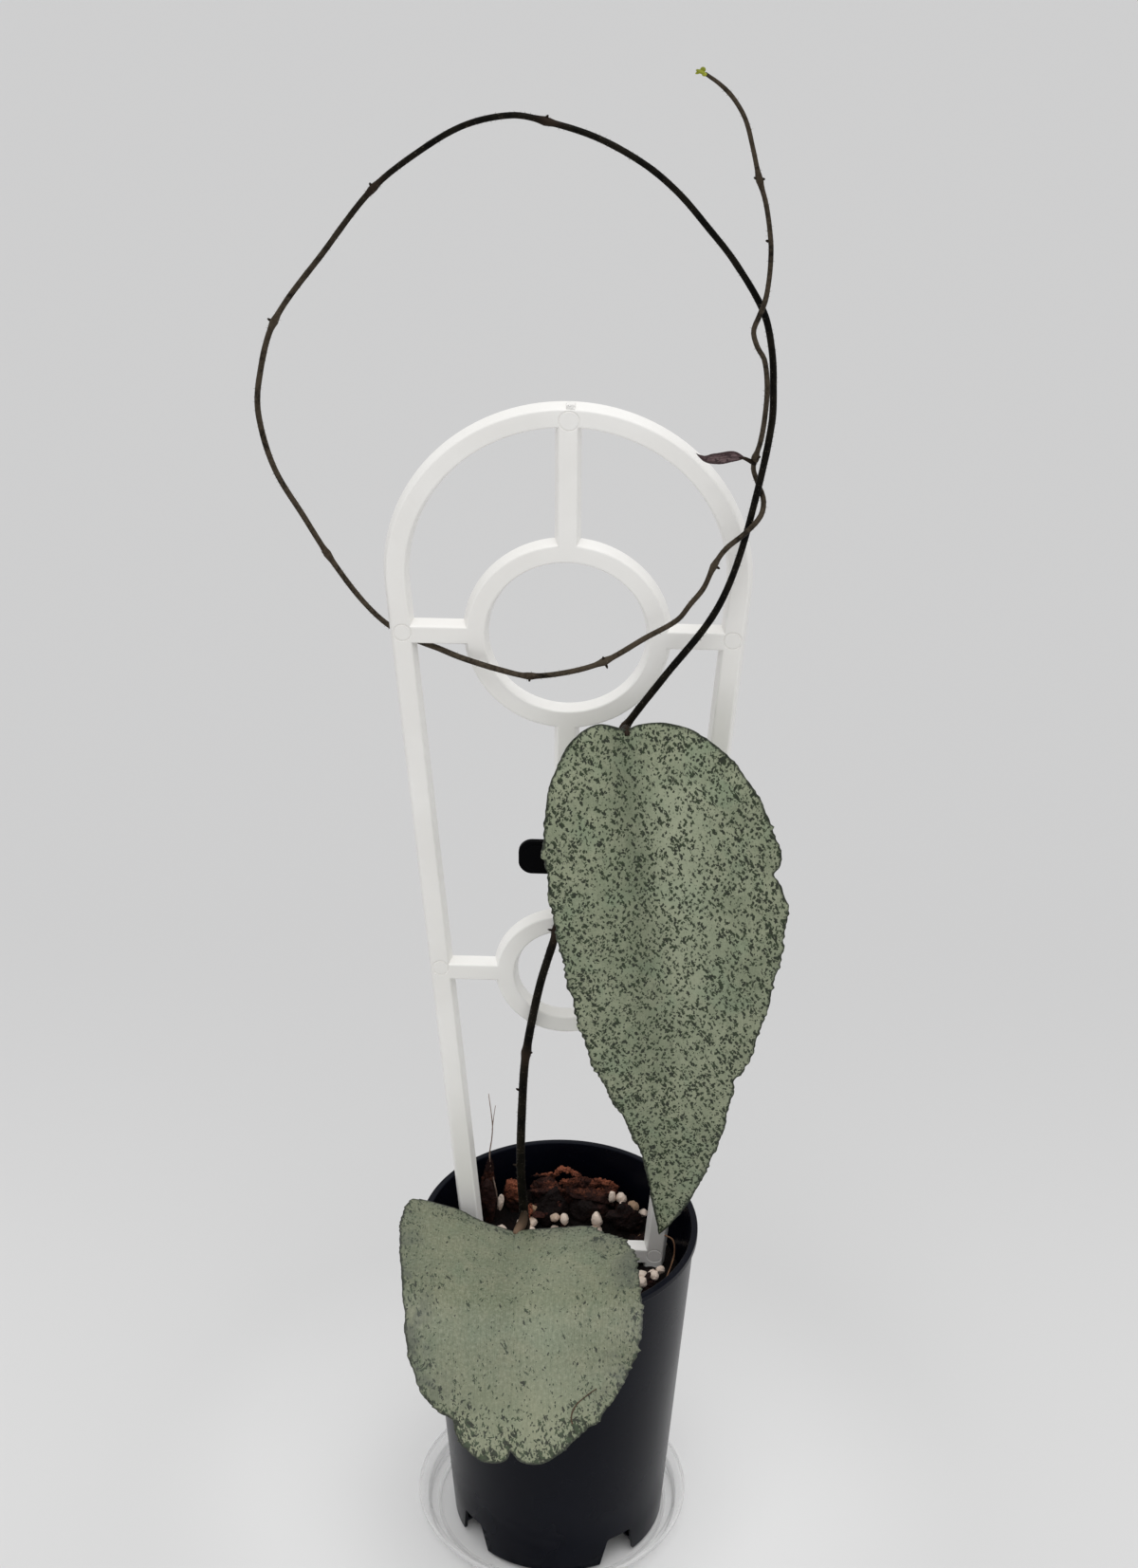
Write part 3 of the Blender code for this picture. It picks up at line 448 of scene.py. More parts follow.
@dataclass(frozen=True)
class StemFinish:
    """Dark living stem, browner at its nodes, with pale specks."""

    name: str
    dark: Colour
    brown: Colour
    node: Colour
    speck: Colour

    def make(self) -> bpy.types.Material:
        """Builds the stem's material on object coordinates and its node attribute."""
        graph = Graph(self.name)
        where = graph.coordinates()
        blotch = graph.noise(where, 130.0, 3.0, 0.6, 0.4)
        grain = graph.noise(where, 900.0, 3.0, 0.65)
        colour = graph.mix(blotch.step(0.38, 0.66), self.dark, self.brown)
        knot = graph.attribute("knot")
        colour = graph.mix(knot * 0.75, colour, self.node)
        young = graph.attribute("young") * (blotch * 0.6 + grain * 0.6).step(0.35, 0.72)
        colour = graph.mix(young, colour, (0.064, 0.050, 0.035))
        specks = graph.cells(where, 1400.0).step(0.20, 0.08)
        lone = graph.noise(where, 620.0, 1.0).step(0.56, 0.68)
        colour = graph.mix(specks * lone * 0.6, colour, self.speck)
        normal = graph.bump(grain * 0.6 + blotch, 0.22, 0.8)
        return graph.surface(Base_Color=colour, Roughness=0.52 + (grain - 0.5) * 0.3, Normal=normal,
                             Specular_IOR_Level=0.06)


@dataclass(frozen=True)
class MouldedFinish:
    """Moulded plastic with a fine texture, faint flow marks and worn edges."""

    name: str
    colour: Colour
    tint: Colour
    roughness: float
    grain: float
    shine: float = 0.5
    dust: float = 0.0
    dust_colour: Colour = (0.4, 0.38, 0.35)
    sheen: Colour = (1.0, 1.0, 1.0)

    def make(self) -> bpy.types.Material:
        """Builds the plastic's material on object coordinates."""
        graph = Graph(self.name)
        where = graph.coordinates()
        cloud = graph.noise(where, 24.0, 3.0, 0.55)
        fine = graph.noise(where, 1500.0, 2.0, 0.6)
        colour = graph.mix(cloud.step(0.35, 0.7), self.colour, self.tint)
        scuffs = graph.noise(graph.coordinates("Object", (1.0, 1.0, 0.16)), 260.0, 3.0, 0.7, 0.6)
        specks = graph.cells(where, 420.0).step(0.16, 0.05) * graph.noise(where, 70.0).step(0.55, 0.7)
        film = (scuffs.step(0.62, 0.8) * 0.35 + specks) * self.dust
        colour = graph.mix(film, colour, self.dust_colour)
        gloss = self.roughness + (cloud - 0.5) * 0.14 + film * 0.3
        normal = graph.bump(fine, self.grain, 0.5)
        normal = graph.bump(cloud, self.grain * 6.0, 0.25, normal)
        return graph.surface(Base_Color=colour, Roughness=gloss, Normal=normal,
                             Specular_IOR_Level=self.shine, Specular_Tint=self.sheen)


@dataclass(frozen=True)
class ClearFinish:
    """Thin clear plastic with faint scratches, and painted lines at its bends."""

    name: str
    colour: Colour
    alpha: float
    # Radii of the painted lines at the saucer's bends.
    rings: tuple[float, ...] = (50.7, 46.8, 43.1)

    def make(self) -> bpy.types.Material:
        """Builds the clear plastic's material, with painted lines at its bends: there it is denser and
        pale, for the light that the bent plastic catches.
        """
        graph = Graph(self.name)
        where = graph.coordinates()
        haze = graph.noise(where, 60.0, 3.0, 0.6)
        scratch = graph.noise(graph.coordinates("Object", (1.0, 9.0, 1.0), 30.0), 300.0, 2.0, 0.6)
        gloss = 0.10 + haze.step(0.4, 0.8) * 0.05 + scratch.step(0.62, 0.75) * 0.03
        normal = graph.bump(haze, 0.05, 0.2)
        # Painted light: thin rings at the bends are made denser, drawing the lines that light makes in the
        # bent plastic.
        level = graph.coordinates("Object", (1.0, 1.0, 0.0))
        reach = graph.node("ShaderNodeVectorMath", {"operation": "LENGTH"}, {0: level}, "Value")
        painted_bend_lines = None
        for ring in self.rings:
            line = (reach - ring * MM).maths("ABSOLUTE").step(0.95 * MM, 0.25 * MM)
            painted_bend_lines = line if painted_bend_lines is None else painted_bend_lines.most(line)
        return graph.surface(Base_Color=self.colour, Roughness=gloss, Normal=normal,
                             Alpha=self.alpha + painted_bend_lines * 0.30, Specular_IOR_Level=1.0, IOR=1.5)


@dataclass(frozen=True)
class BarkFinish:
    """Broken bark: fibrous, pitted, each bit with its own shade, which on the red bark also holds light
    painted on by height.
    """

    name: str
    dark: Colour
    light: Colour
    roughness: float

    def make(self) -> bpy.types.Material:
        """Builds the bark's material, which reads each bit's shade from the mesh."""
        graph = Graph(self.name)
        where = graph.coordinates()
        fibre = graph.noise(graph.coordinates("Object", (1.0, 0.35, 2.4), 25.0), 520.0, 4.0, 0.7, 0.5)
        blotch = graph.noise(where, 150.0, 3.0, 0.6, 0.3)
        # Each bit's shade is its own tone; on the red bark it also holds the painted light that grades it
        # by height.
        shade = graph.attribute("shade")
        share = (fibre * 0.5 + blotch * 0.5 + (shade - 0.5) * 0.6).step(0.32, 0.78)
        gaps = graph.noise(graph.coordinates("Object", (1.0, 0.4, 1.8), -20.0), 900.0, 3.0, 0.7)
        share = share * gaps.step(0.36, 0.52)
        colour = graph.mix(share, self.dark, self.light)
        pits = graph.cells(where, 700.0).step(0.0, 0.5)
        normal = graph.bump(fibre + pits * 0.5, 0.5, 0.9)
        return graph.surface(Base_Color=colour, Roughness=self.roughness + (fibre - 0.5) * 0.2,
                             Normal=normal, Specular_IOR_Level=0.2)


@dataclass(frozen=True)
class GrainFinish:
    """Crumbly white grains with small dirty pits."""

    name: str
    white: Colour
    dirt: Colour

    def make(self) -> bpy.types.Material:
        """Builds the grains' material."""
        graph = Graph(self.name)
        where = graph.coordinates()
        pits = graph.cells(where, 1300.0)
        stain = graph.noise(where, 210.0, 3.0, 0.6)
        colour = graph.mix(stain.step(0.50, 0.78) * 0.75, self.white, self.dirt)
        colour = graph.mix(pits.step(0.16, 0.04) * 0.4, colour, self.dirt)
        colour = graph.mix(graph.attribute("shade").step(0.5, 1.05), colour, self.dirt)
        normal = graph.bump(pits, 0.25, 0.6)
        return graph.surface(Base_Color=colour, Roughness=0.85, Normal=normal)


@dataclass(frozen=True)
class FloorFinish:
    """A matt pale table, painted a little greyer towards the back as shade where the light falls off, and
    with a painted pool of light round the pot.
    """

    name: str
    front: Colour
    back: Colour
    near: float
    far: float
    painted_light_pool: Colour = (0.84, 0.84, 0.84)

    def make(self) -> bpy.types.Material:
        """Builds the floor's material."""
        graph = Graph(self.name)
        place = graph.node("ShaderNodeTexCoord", output="Object")
        depth = graph.node("ShaderNodeSeparateXYZ", None, {0: place}, "Y")
        # Painted shade: greyer towards the back, where the light falls off.
        colour = graph.mix(depth.step(self.near * MM, self.far * MM), self.front, self.back)
        reach = graph.node("ShaderNodeVectorMath", {"operation": "LENGTH"}, {0: place}, "Value")
        # Painted light: a paler pool round the pot, which lightens the shadow that the pot and saucer cast
        # on the floor.
        colour = graph.mix(reach.step(170.0 * MM, 35.0 * MM), colour, self.painted_light_pool)
        return graph.surface(Base_Color=colour, Roughness=0.7, Specular_IOR_Level=0.15)


class Finish(Enum):
    """Every finish on the object and on the floor."""

    # The leaf finishes also set the strength of the painted shade and highlights beside the midrib, along
    # the margin and at the tip.
    UPPER_LEAF = LeafFinish("upper_leaf_skin", (0.222, 0.254, 0.164), (0.285, 0.310, 0.208),
                            (0.198, 0.268, 0.172), (0.017, 0.030, 0.010), (0.008, 0.013, 0.005),
                            0.47, 0.46, 0.10, 0.50, valley_shade=0.32, spot_edge=0.50, grit=0.08)
    LOWER_LEAF = LeafFinish("lower_leaf_skin", (0.163, 0.184, 0.116), (0.203, 0.214, 0.138),
                            (0.150, 0.190, 0.122), (0.040, 0.058, 0.030), (0.018, 0.022, 0.014),
                            0.84, 0.74, 0.24, 0.46, 1.2, 0.085, valley_shade=0.08, spot_edge=0.55,
                            margin_shade=0.66, tip_crowd=0.08, painted_tip_light=0.34, loose_edge=0.67)
    LEAF_BACK = LeafFinish("leaf_underside", (0.225, 0.245, 0.160), (0.262, 0.275, 0.190),
                           (0.205, 0.240, 0.160), (0.120, 0.130, 0.080), (0.060, 0.070, 0.040),
                           0.72, 0.74, 0.25, 0.62, crease=LEAF_LONG * 0.8, spot_edge=0.9, loose_edge=0.78)
    YOUNG_LEAF = LeafFinish("young_leaf_skin", (0.100, 0.052, 0.054), (0.27, 0.18, 0.185),
                            (0.12, 0.07, 0.08), (0.030, 0.014, 0.016), (0.030, 0.012, 0.014), 0.66,
                            0.7, 0.7, 0.42)
    STEM = StemFinish("stem_skin", (0.0022, 0.0021, 0.0015), (0.0100, 0.0082, 0.0052),
                      (0.034, 0.022, 0.015), (0.22, 0.19, 0.14))
    HAIR = StemFinish("stem_hair", (0.10, 0.085, 0.065), (0.20, 0.17, 0.13), (0.2, 0.16, 0.12),
                      (0.3, 0.26, 0.2))
    BUD = StemFinish("green_bud", (0.18, 0.20, 0.030), (0.36, 0.38, 0.05), (0.35, 0.38, 0.1),
                     (0.5, 0.5, 0.2))
    DRY = StemFinish("dry_root_skin", (0.13, 0.066, 0.038), (0.28, 0.160, 0.095), (0.30, 0.18, 0.11),
                     (0.5, 0.38, 0.3))
    TWIG = StemFinish("pale_twig", (0.20, 0.135, 0.105), (0.40, 0.31, 0.26), (0.4, 0.3, 0.25),
                      (0.5, 0.42, 0.36))
    STALK = StemFinish("tan_stalk", (0.016, 0.012, 0.008), (0.040, 0.028, 0.019),
                       (0.230, 0.150, 0.100), (0.42, 0.33, 0.25))
    WHITE = MouldedFinish("moulded_white", (0.87, 0.857, 0.828), (0.92, 0.91, 0.885), 0.36, 0.010)
    BLACK = MouldedFinish("nursery_black", (0.0014, 0.0018, 0.0046), (0.0024, 0.0030, 0.0066), 0.27,
                          0.014, 0.095, 0.10, (0.085, 0.088, 0.105), (0.84, 0.88, 1.0))
    CLIP = MouldedFinish("clip_moulding", (0.0008, 0.0008, 0.0010), (0.0014, 0.0014, 0.0018), 0.42, 0.006,
                         0.03)
    CLEAR = ClearFinish("clear_skin", (0.84, 0.835, 0.835), 0.07)
    SOIL = BarkFinish("peat_skin", (0.0022, 0.0012, 0.0010), (0.016, 0.0065, 0.0045), 0.9)
    BARK = BarkFinish("bark_skin", (0.0050, 0.0018, 0.0016), (0.060, 0.019, 0.014), 0.78)
    RED_BARK = BarkFinish("red_bark_skin", (0.0150, 0.0042, 0.0032), (0.33, 0.105, 0.055), 0.78)
    PERLITE = GrainFinish("perlite_skin", (0.84, 0.70, 0.595), (0.36, 0.23, 0.14))
    FLOOR = FloorFinish("pale_floor", (0.66, 0.66, 0.66), (0.56, 0.56, 0.562), -60.0, 420.0)

    def material(self) -> bpy.types.Material:
        """Returns the finish's material, made once."""
        return bpy.data.materials.get(self.value.name) or self.value.make()


class Bench:
    """Blender's own modelling tools, used on one piece at a time."""

    @staticmethod
    def clear() -> None:
        """Leaves edit mode and deselects everything."""
        if bpy.context.object is not None and bpy.context.object.mode != "OBJECT":
            bpy.ops.object.mode_set(mode="OBJECT")
        bpy.ops.object.select_all(action="DESELECT")

    @staticmethod
    def hold(obj: bpy.types.Object) -> None:
        """Makes one object the only selected and active one."""
        Bench.clear()
        obj.select_set(True)
        bpy.context.view_layer.objects.active = obj

    @staticmethod
    def edit(obj: bpy.types.Object, mode: str = "VERT") -> bmesh.types.BMesh:
        """Opens an object for editing, with nothing selected in it.

        Args:
            obj: the object.
            mode: VERT, EDGE or FACE.

        Returns:
            Its mesh, open for edits.
        """
        Bench.hold(obj)
        bpy.ops.object.mode_set(mode="EDIT")
        bpy.ops.mesh.select_mode(type=mode)
        bpy.ops.mesh.select_all(action="DESELECT")
        return bmesh.from_edit_mesh(obj.data)

    @staticmethod
    def settle(obj: bpy.types.Object) -> None:
        """Applies an object's place and its modifiers, so that it sits at the origin."""
        Bench.hold(obj)
        bpy.ops.object.transform_apply(location=True, rotation=True, scale=True)
        for modifier in list(obj.modifiers):
            bpy.ops.object.modifier_apply(modifier=modifier.name)

    @staticmethod
    def smooth(obj: bpy.types.Object, angle: float = 35.0) -> None:
        """Shades an object smooth, with edges sharper than an angle left sharp."""
        Bench.hold(obj)
        bpy.ops.object.shade_smooth_by_angle(angle=math.radians(angle))

    @staticmethod
    def flatten(obj: bpy.types.Object) -> None:
        """Leans a plate's shading to its large flat faces, up to its sharp edges."""
        weighted = obj.modifiers.new("Flat faces", "WEIGHTED_NORMAL")
        weighted.keep_sharp = True
        Bench.hold(obj)
        bpy.ops.object.modifier_apply(modifier=weighted.name)

    @staticmethod
    def join(objects: Sequence[bpy.types.Object], name: str) -> bpy.types.Object:
        """Joins several objects into the first of them.

        Args:
            objects: the objects, of which the first stays.
            name: its new name.

        Returns:
            The joined object.
        """
        Bench.hold(objects[0])
        for obj in objects[1:]:
            obj.select_set(True)
        if len(objects) > 1:
            bpy.ops.object.join()
        objects[0].name = name
        objects[0].data.name = name
        return objects[0]

    @staticmethod
    def mark(obj: bpy.types.Object, name: str, amount: float) -> None:
        """Gives every point of a mesh the same number under a name."""
        layer = obj.data.attributes.new(name, "FLOAT", "POINT")
        layer.data.foreach_set("value", [amount] * len(obj.data.vertices))

    @staticmethod
    def turn(name: str, profile: Sequence[tuple[float, float]], steps: int,
             middle: float = 0.0) -> bpy.types.Object:
        """Turns a profile that begins and ends on the axis into a closed piece.

        Args:
            name: the piece's name.
            profile: radius and height of each point.
            steps: faces round the piece.
            middle: the axis's place along X.

        Returns:
            The turned piece.
        """
        Bench.clear()
        bpy.ops.mesh.primitive_plane_add(size=MM, location=(0, 0, 0))
        obj = bpy.context.object
        obj.name = name
        bm = Bench.edit(obj)
        bm.verts.ensure_lookup_table()
        bmesh.ops.delete(bm, geom=bm.verts[1:], context="VERTS")
        bm.verts.ensure_lookup_table()
        bm.verts[0].co = (profile[0][0] * MM, 0.0, profile[0][1] * MM)
        bm.verts[0].select_set(True)
        bmesh.update_edit_mesh(obj.data)
        for first, second in zip(profile, profile[1:]):
            move = ((second[0] - first[0]) * MM, 0.0, (second[1] - first[1]) * MM)
            bpy.ops.mesh.extrude_vertices_move(TRANSFORM_OT_translate={"value": move})
        bpy.ops.mesh.select_all(action="SELECT")
        bpy.ops.mesh.spin(steps=steps, angle=math.tau, center=(0, 0, 0), axis=(0, 0, 1))
        bpy.ops.mesh.select_all(action="SELECT")
        bpy.ops.mesh.remove_doubles(threshold=0.01 * MM)
        bpy.ops.mesh.normals_make_consistent(inside=False)
        Bench.clear()
        obj.location.x = middle * MM
        Bench.settle(obj)
        return obj

    @staticmethod
    def plate(name: str, outlines: Sequence[Sequence[tuple[float, float]]], depth: float,
              edge: float, place: Point, upright: bool = True, slope: float = 0.0
              ) -> bpy.types.Object:
        """Makes a flat plate with rounded edges from an outline and its windows.

        Args:
            name: the plate's name.
            outlines: closed outlines, of which all but the first are windows.
            depth: the plate's thickness.
            edge: the radius of its rounded edges.
            place: where the outline's origin goes.
            upright: stands the plate in the XZ plane.
            slope: how far its walls spread from the middle of their depth to the back.

        Returns:
            The plate.
        """
        Bench.clear()
        curve = bpy.data.curves.new(name, "CURVE")
        curve.dimensions = "2D"
        curve.fill_mode = "BOTH"
        curve.extrude = (depth / 2 - edge) * MM
        curve.bevel_depth = edge * MM
        curve.bevel_resolution = 2
        curve.offset = -edge * MM
        for outline in outlines:
            spline = curve.splines.new("POLY")
            spline.points.add(len(outline) - 1)
            spline.use_cyclic_u = True
            for point, (x, y) in zip(spline.points, outline):
                point.co = (x * MM, y * MM, 0.0, 1.0)
        obj = bpy.data.objects.new(name, curve)
        bpy.context.collection.objects.link(obj)
        Bench.hold(obj)
        bpy.ops.object.convert(target="MESH")
        obj = bpy.context.object
        bm = Bench.edit(obj)
        bmesh.ops.remove_doubles(bm, verts=bm.verts, dist=0.01 * MM)
        top = (depth / 2 - 0.002) * MM
        caps = [face for face in bm.faces if all(abs(vert.co.z) > top for vert in face.verts)]
        bmesh.ops.delete(bm, geom=caps, context="FACES")
        tree, ways = mitres(outlines, edge)
        for vert in bm.verts:
            way = ways[tree.find((vert.co.x / MM, vert.co.y / MM, 0.0))[1]]
            vert.co -= Vector((way.x, way.y, 0.0)) * (2 * vert.co.z / (depth * MM) * slope)
        for side in (-1.0, 1.0):
            loops = [line for line in bm.edges if line.is_boundary and line.verts[0].co.z * side > 0]
            bmesh.ops.triangle_fill(bm, edges=loops, use_beauty=True, use_dissolve=False)
        bmesh.update_edit_mesh(obj.data)
        bpy.ops.mesh.select_all(action="SELECT")
        bpy.ops.mesh.normals_make_consistent(inside=False)
        Bench.clear()
        obj.location = Vector(place) * MM
        obj.rotation_euler.x = math.pi / 2 if upright else 0.0
        Bench.settle(obj)
        return obj

    @staticmethod
    def tube(name: str, places: Sequence[tuple[float, float, float, float]],
             half_sides: int = 4) -> bpy.types.Object:
        """Makes a round stem along places of x, y, z and radius.

        Args:
            name: the stem's name.
            places: the places, in millimetres.
            half_sides: half the number of faces round the stem.

        Returns:
            The stem, with its rings in the order of the places.
        """
        Bench.clear()
        curve = bpy.data.curves.new(name, "CURVE")
        curve.dimensions = "3D"
        curve.bevel_depth = MM
        curve.bevel_resolution = half_sides - 2
        curve.use_fill_caps = True
        spline = curve.splines.new("POLY")
        spline.points.add(len(places) - 1)
        for point, (x, y, z, radius) in zip(spline.points, places):
            point.co = (x * MM, y * MM, z * MM, 1.0)
            point.radius = radius
        obj = bpy.data.objects.new(name, curve)
        bpy.context.collection.objects.link(obj)
        Bench.hold(obj)
        bpy.ops.object.convert(target="MESH")
        obj = bpy.context.object
        Bench.edit(obj)
        bpy.ops.mesh.select_all(action="SELECT")
        bpy.ops.mesh.remove_doubles(threshold=0.003 * MM)
        bpy.ops.mesh.normals_make_consistent(inside=False)
        Bench.clear()
        return obj

    @staticmethod
    def cut(obj: bpy.types.Object, cutters: Sequence[bpy.types.Object], solver: str = "EXACT") -> None:
        """Cuts an object by several others, which are then removed.

        Args:
            obj: the object that is cut.
            cutters: what is taken away from it.
            solver: the way the cut is worked out.
        """
        for cutter in cutters:
            modifier = obj.modifiers.new("Cut", "BOOLEAN")
            modifier.operation = "DIFFERENCE"
            modifier.solver = solver
            modifier.object = cutter
            Bench.hold(obj)
            bpy.ops.object.modifier_apply(modifier=modifier.name)
            bpy.data.objects.remove(cutter, do_unlink=True)

    @staticmethod
    def dress(obj: bpy.types.Object, finish: Finish, slot: str, *nodes: str) -> bpy.types.Object:
        """Gives a finished piece its material and its body, and hides the nodes it stands for.

        Args:
            obj: the piece.
            finish: its finish.
            slot: the record's material slot; not used.
            nodes: the CAD nodes that it replaces.

        Returns:
            The piece.
        """
        obj.data.materials.clear()
        obj.data.materials.append(finish.material())
        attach(obj, BODY)
        if nodes:
            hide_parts(*nodes)
        log.info("%s: %d faces", obj.name, len(obj.data.polygons))
        return obj


def rounded(profile: Sequence[tuple[float, float, float]]) -> list[tuple[float, float]]:
    """Rounds the corners of an open outline.

    Args:
        profile: each point's two places and the radius of its corner.

    Returns:
        The outline with short arcs in place of the rounded corners.
    """
    points: list[tuple[float, float]] = []
    for index, (x, y, radius) in enumerate(profile):
        if radius <= 0.0 or index in (0, len(profile) - 1):
            points.append((x, y))
            continue
        corner = Vector((x, y))
        before = (Vector(profile[index - 1][:2]) - corner).normalized()
        after = (Vector(profile[index + 1][:2]) - corner).normalized()
        half = before.angle(after) / 2
        reach = radius / math.tan(half)
        start, end = corner + before * reach, corner + after * reach
        centre = corner + (before + after).normalized() * (radius / math.sin(half))
        for share in (0.0, 0.25, 0.5, 0.75, 1.0):
            on_chord = start.lerp(end, share) - centre
            points.append(tuple(centre + on_chord.normalized() * radius))
    return points


def arc(centre: tuple[float, float], radius: float, start: float, end: float) -> list:
    """Gives points every few degrees along an arc, both ends included.

    Args:
        centre: the arc's centre.
        radius: its radius.
        start: the first angle, in radians.
        end: the last angle.

    Returns:
        The points.
    """
    count = max(3, math.ceil(abs(end - start) / math.radians(3.0)))
    angles = [start + (end - start) * index / count for index in range(count + 1)]
    return [(centre[0] + radius * math.cos(a), centre[1] + radius * math.sin(a)) for a in angles]


def mitres(outlines: Sequence[Sequence[tuple[float, float]]], edge: float) -> tuple[KDTree, list]:
    """Finds which way each corner moves when a plate's walls move outwards.

    Args:
        outlines: the plate's outline and then its windows, in millimetres.
        edge: the radius of the plate's rounded edges.

    Returns:
        A tree of the corners, and each corner's move for 1 mm, in metres.
    """
    ways = []
    for number, outline in enumerate(outlines):
        points = [Vector(point) for point in outline]
        pairs = list(zip(points, points[1:] + points[:1]))
        area = sum(a.x * b.y - b.x * a.y for a, b in pairs)
        sign = math.copysign(1.0, area) * (1.0 if number == 0 else -1.0)
        sides = [Vector((b.y - a.y, a.x - b.x)).normalized() * sign for a, b in pairs]
        for index, point in enumerate(points):
            mitre = (sides[index - 1] + sides[index]).normalized()
            ways.append((point, mitre / max(0.6, mitre.dot(sides[index]))))
    tree = KDTree(len(ways))
    for index, (point, way) in enumerate(ways):
        tree.insert((*(point - way * edge * 0.5), 0.0), index)
    tree.balance()
    return tree, [way * MM for _, way in ways]


def smooth_path(points: Sequence[tuple], step: float) -> tuple[list, list]:
    """Reads places at even steps along a smooth curve through some points.

    Args:
        points: tuples whose first three numbers are a place in space.
        step: the distance between places.

    Returns:
        Pairs of distance and place, and the distance of each given point.
    """
    lengths = [0.0]
    for first, second in zip(points, points[1:]):
        lengths.append(lengths[-1] + math.dist(first[:3], second[:3]))
    slopes = []
    for index in range(len(points)):
        before, after = max(index - 1, 0), min(index + 1, len(points) - 1)
        span = lengths[after] - lengths[before]
        slopes.append([(b - a) / span for a, b in zip(points[before], points[after])])
    count = max(2, round(lengths[-1] / step))
    found = []
    index = 0
    for number in range(count + 1):
        distance = lengths[-1] * number / count
        while index < len(points) - 2 and distance > lengths[index + 1]:
            index += 1
        span = lengths[index + 1] - lengths[index]
        t = (distance - lengths[index]) / span
        weights = (2 * t**3 - 3 * t**2 + 1, (t**3 - 2 * t**2 + t) * span,
                   3 * t**2 - 2 * t**3, (t**3 - t**2) * span)
        parts = (points[index], slopes[index], points[index + 1], slopes[index + 1])
        place = tuple(sum(w * part[k] for w, part in zip(weights, parts))
                      for k in range(len(points[0])))
        found.append((distance, place))
    return found, lengths


@dataclass
class Saucer:
    """The thin clear saucer, with rings pressed into its floor."""

    radius: float = 50.9
    height: float = 9.0
    base: float = 45.3
    floor: float = 1.5
    wall: float = 1.1
    bead: float = 1.1
    rings: tuple[float, ...] = (12.0, 24.0, 33.0)

    def build(self) -> None:
        """Turns the saucer and dresses it."""
        inner = self.radius - 2 * self.bead
        profile = [(0.0, self.floor, 0.0)]
        for ring in self.rings:
            profile += [(ring - 0.9, self.floor, 0.2), (ring - 0.4, self.floor + 0.45, 0.15),
                        (ring + 0.4, self.floor + 0.45, 0.15), (ring + 0.9, self.floor, 0.2)]
        profile += [
            (self.base - 0.9, self.floor, 0.8), (inner - 0.9, self.height - 2.4, 0.5),
            (inner + 0.1, self.height, 0.7), (self.radius, self.height, 0.8),
            (self.radius, self.height - 2.1, 0.5), (self.radius - 1.0, self.height - 2.5, 0.3),
            (self.base + self.wall, 0.8, 0.4), (self.base, 0.0, 0.3),
        ]
        for ring in reversed(self.rings):
            profile += [(ring + 0.7, 0.0, 0.1), (ring + 0.3, 0.3, 0.1), (ring - 0.3, 0.3, 0.1),
                        (ring - 0.7, 0.0, 0.1)]
        profile.append((0.0, 0.0, 0.0))
        obj = Bench.turn("clear_saucer", rounded(profile), 128)
        Bench.smooth(obj, 40.0)
        Bench.dress(obj, Finish.CLEAR, "clear_plastic", "saucer")


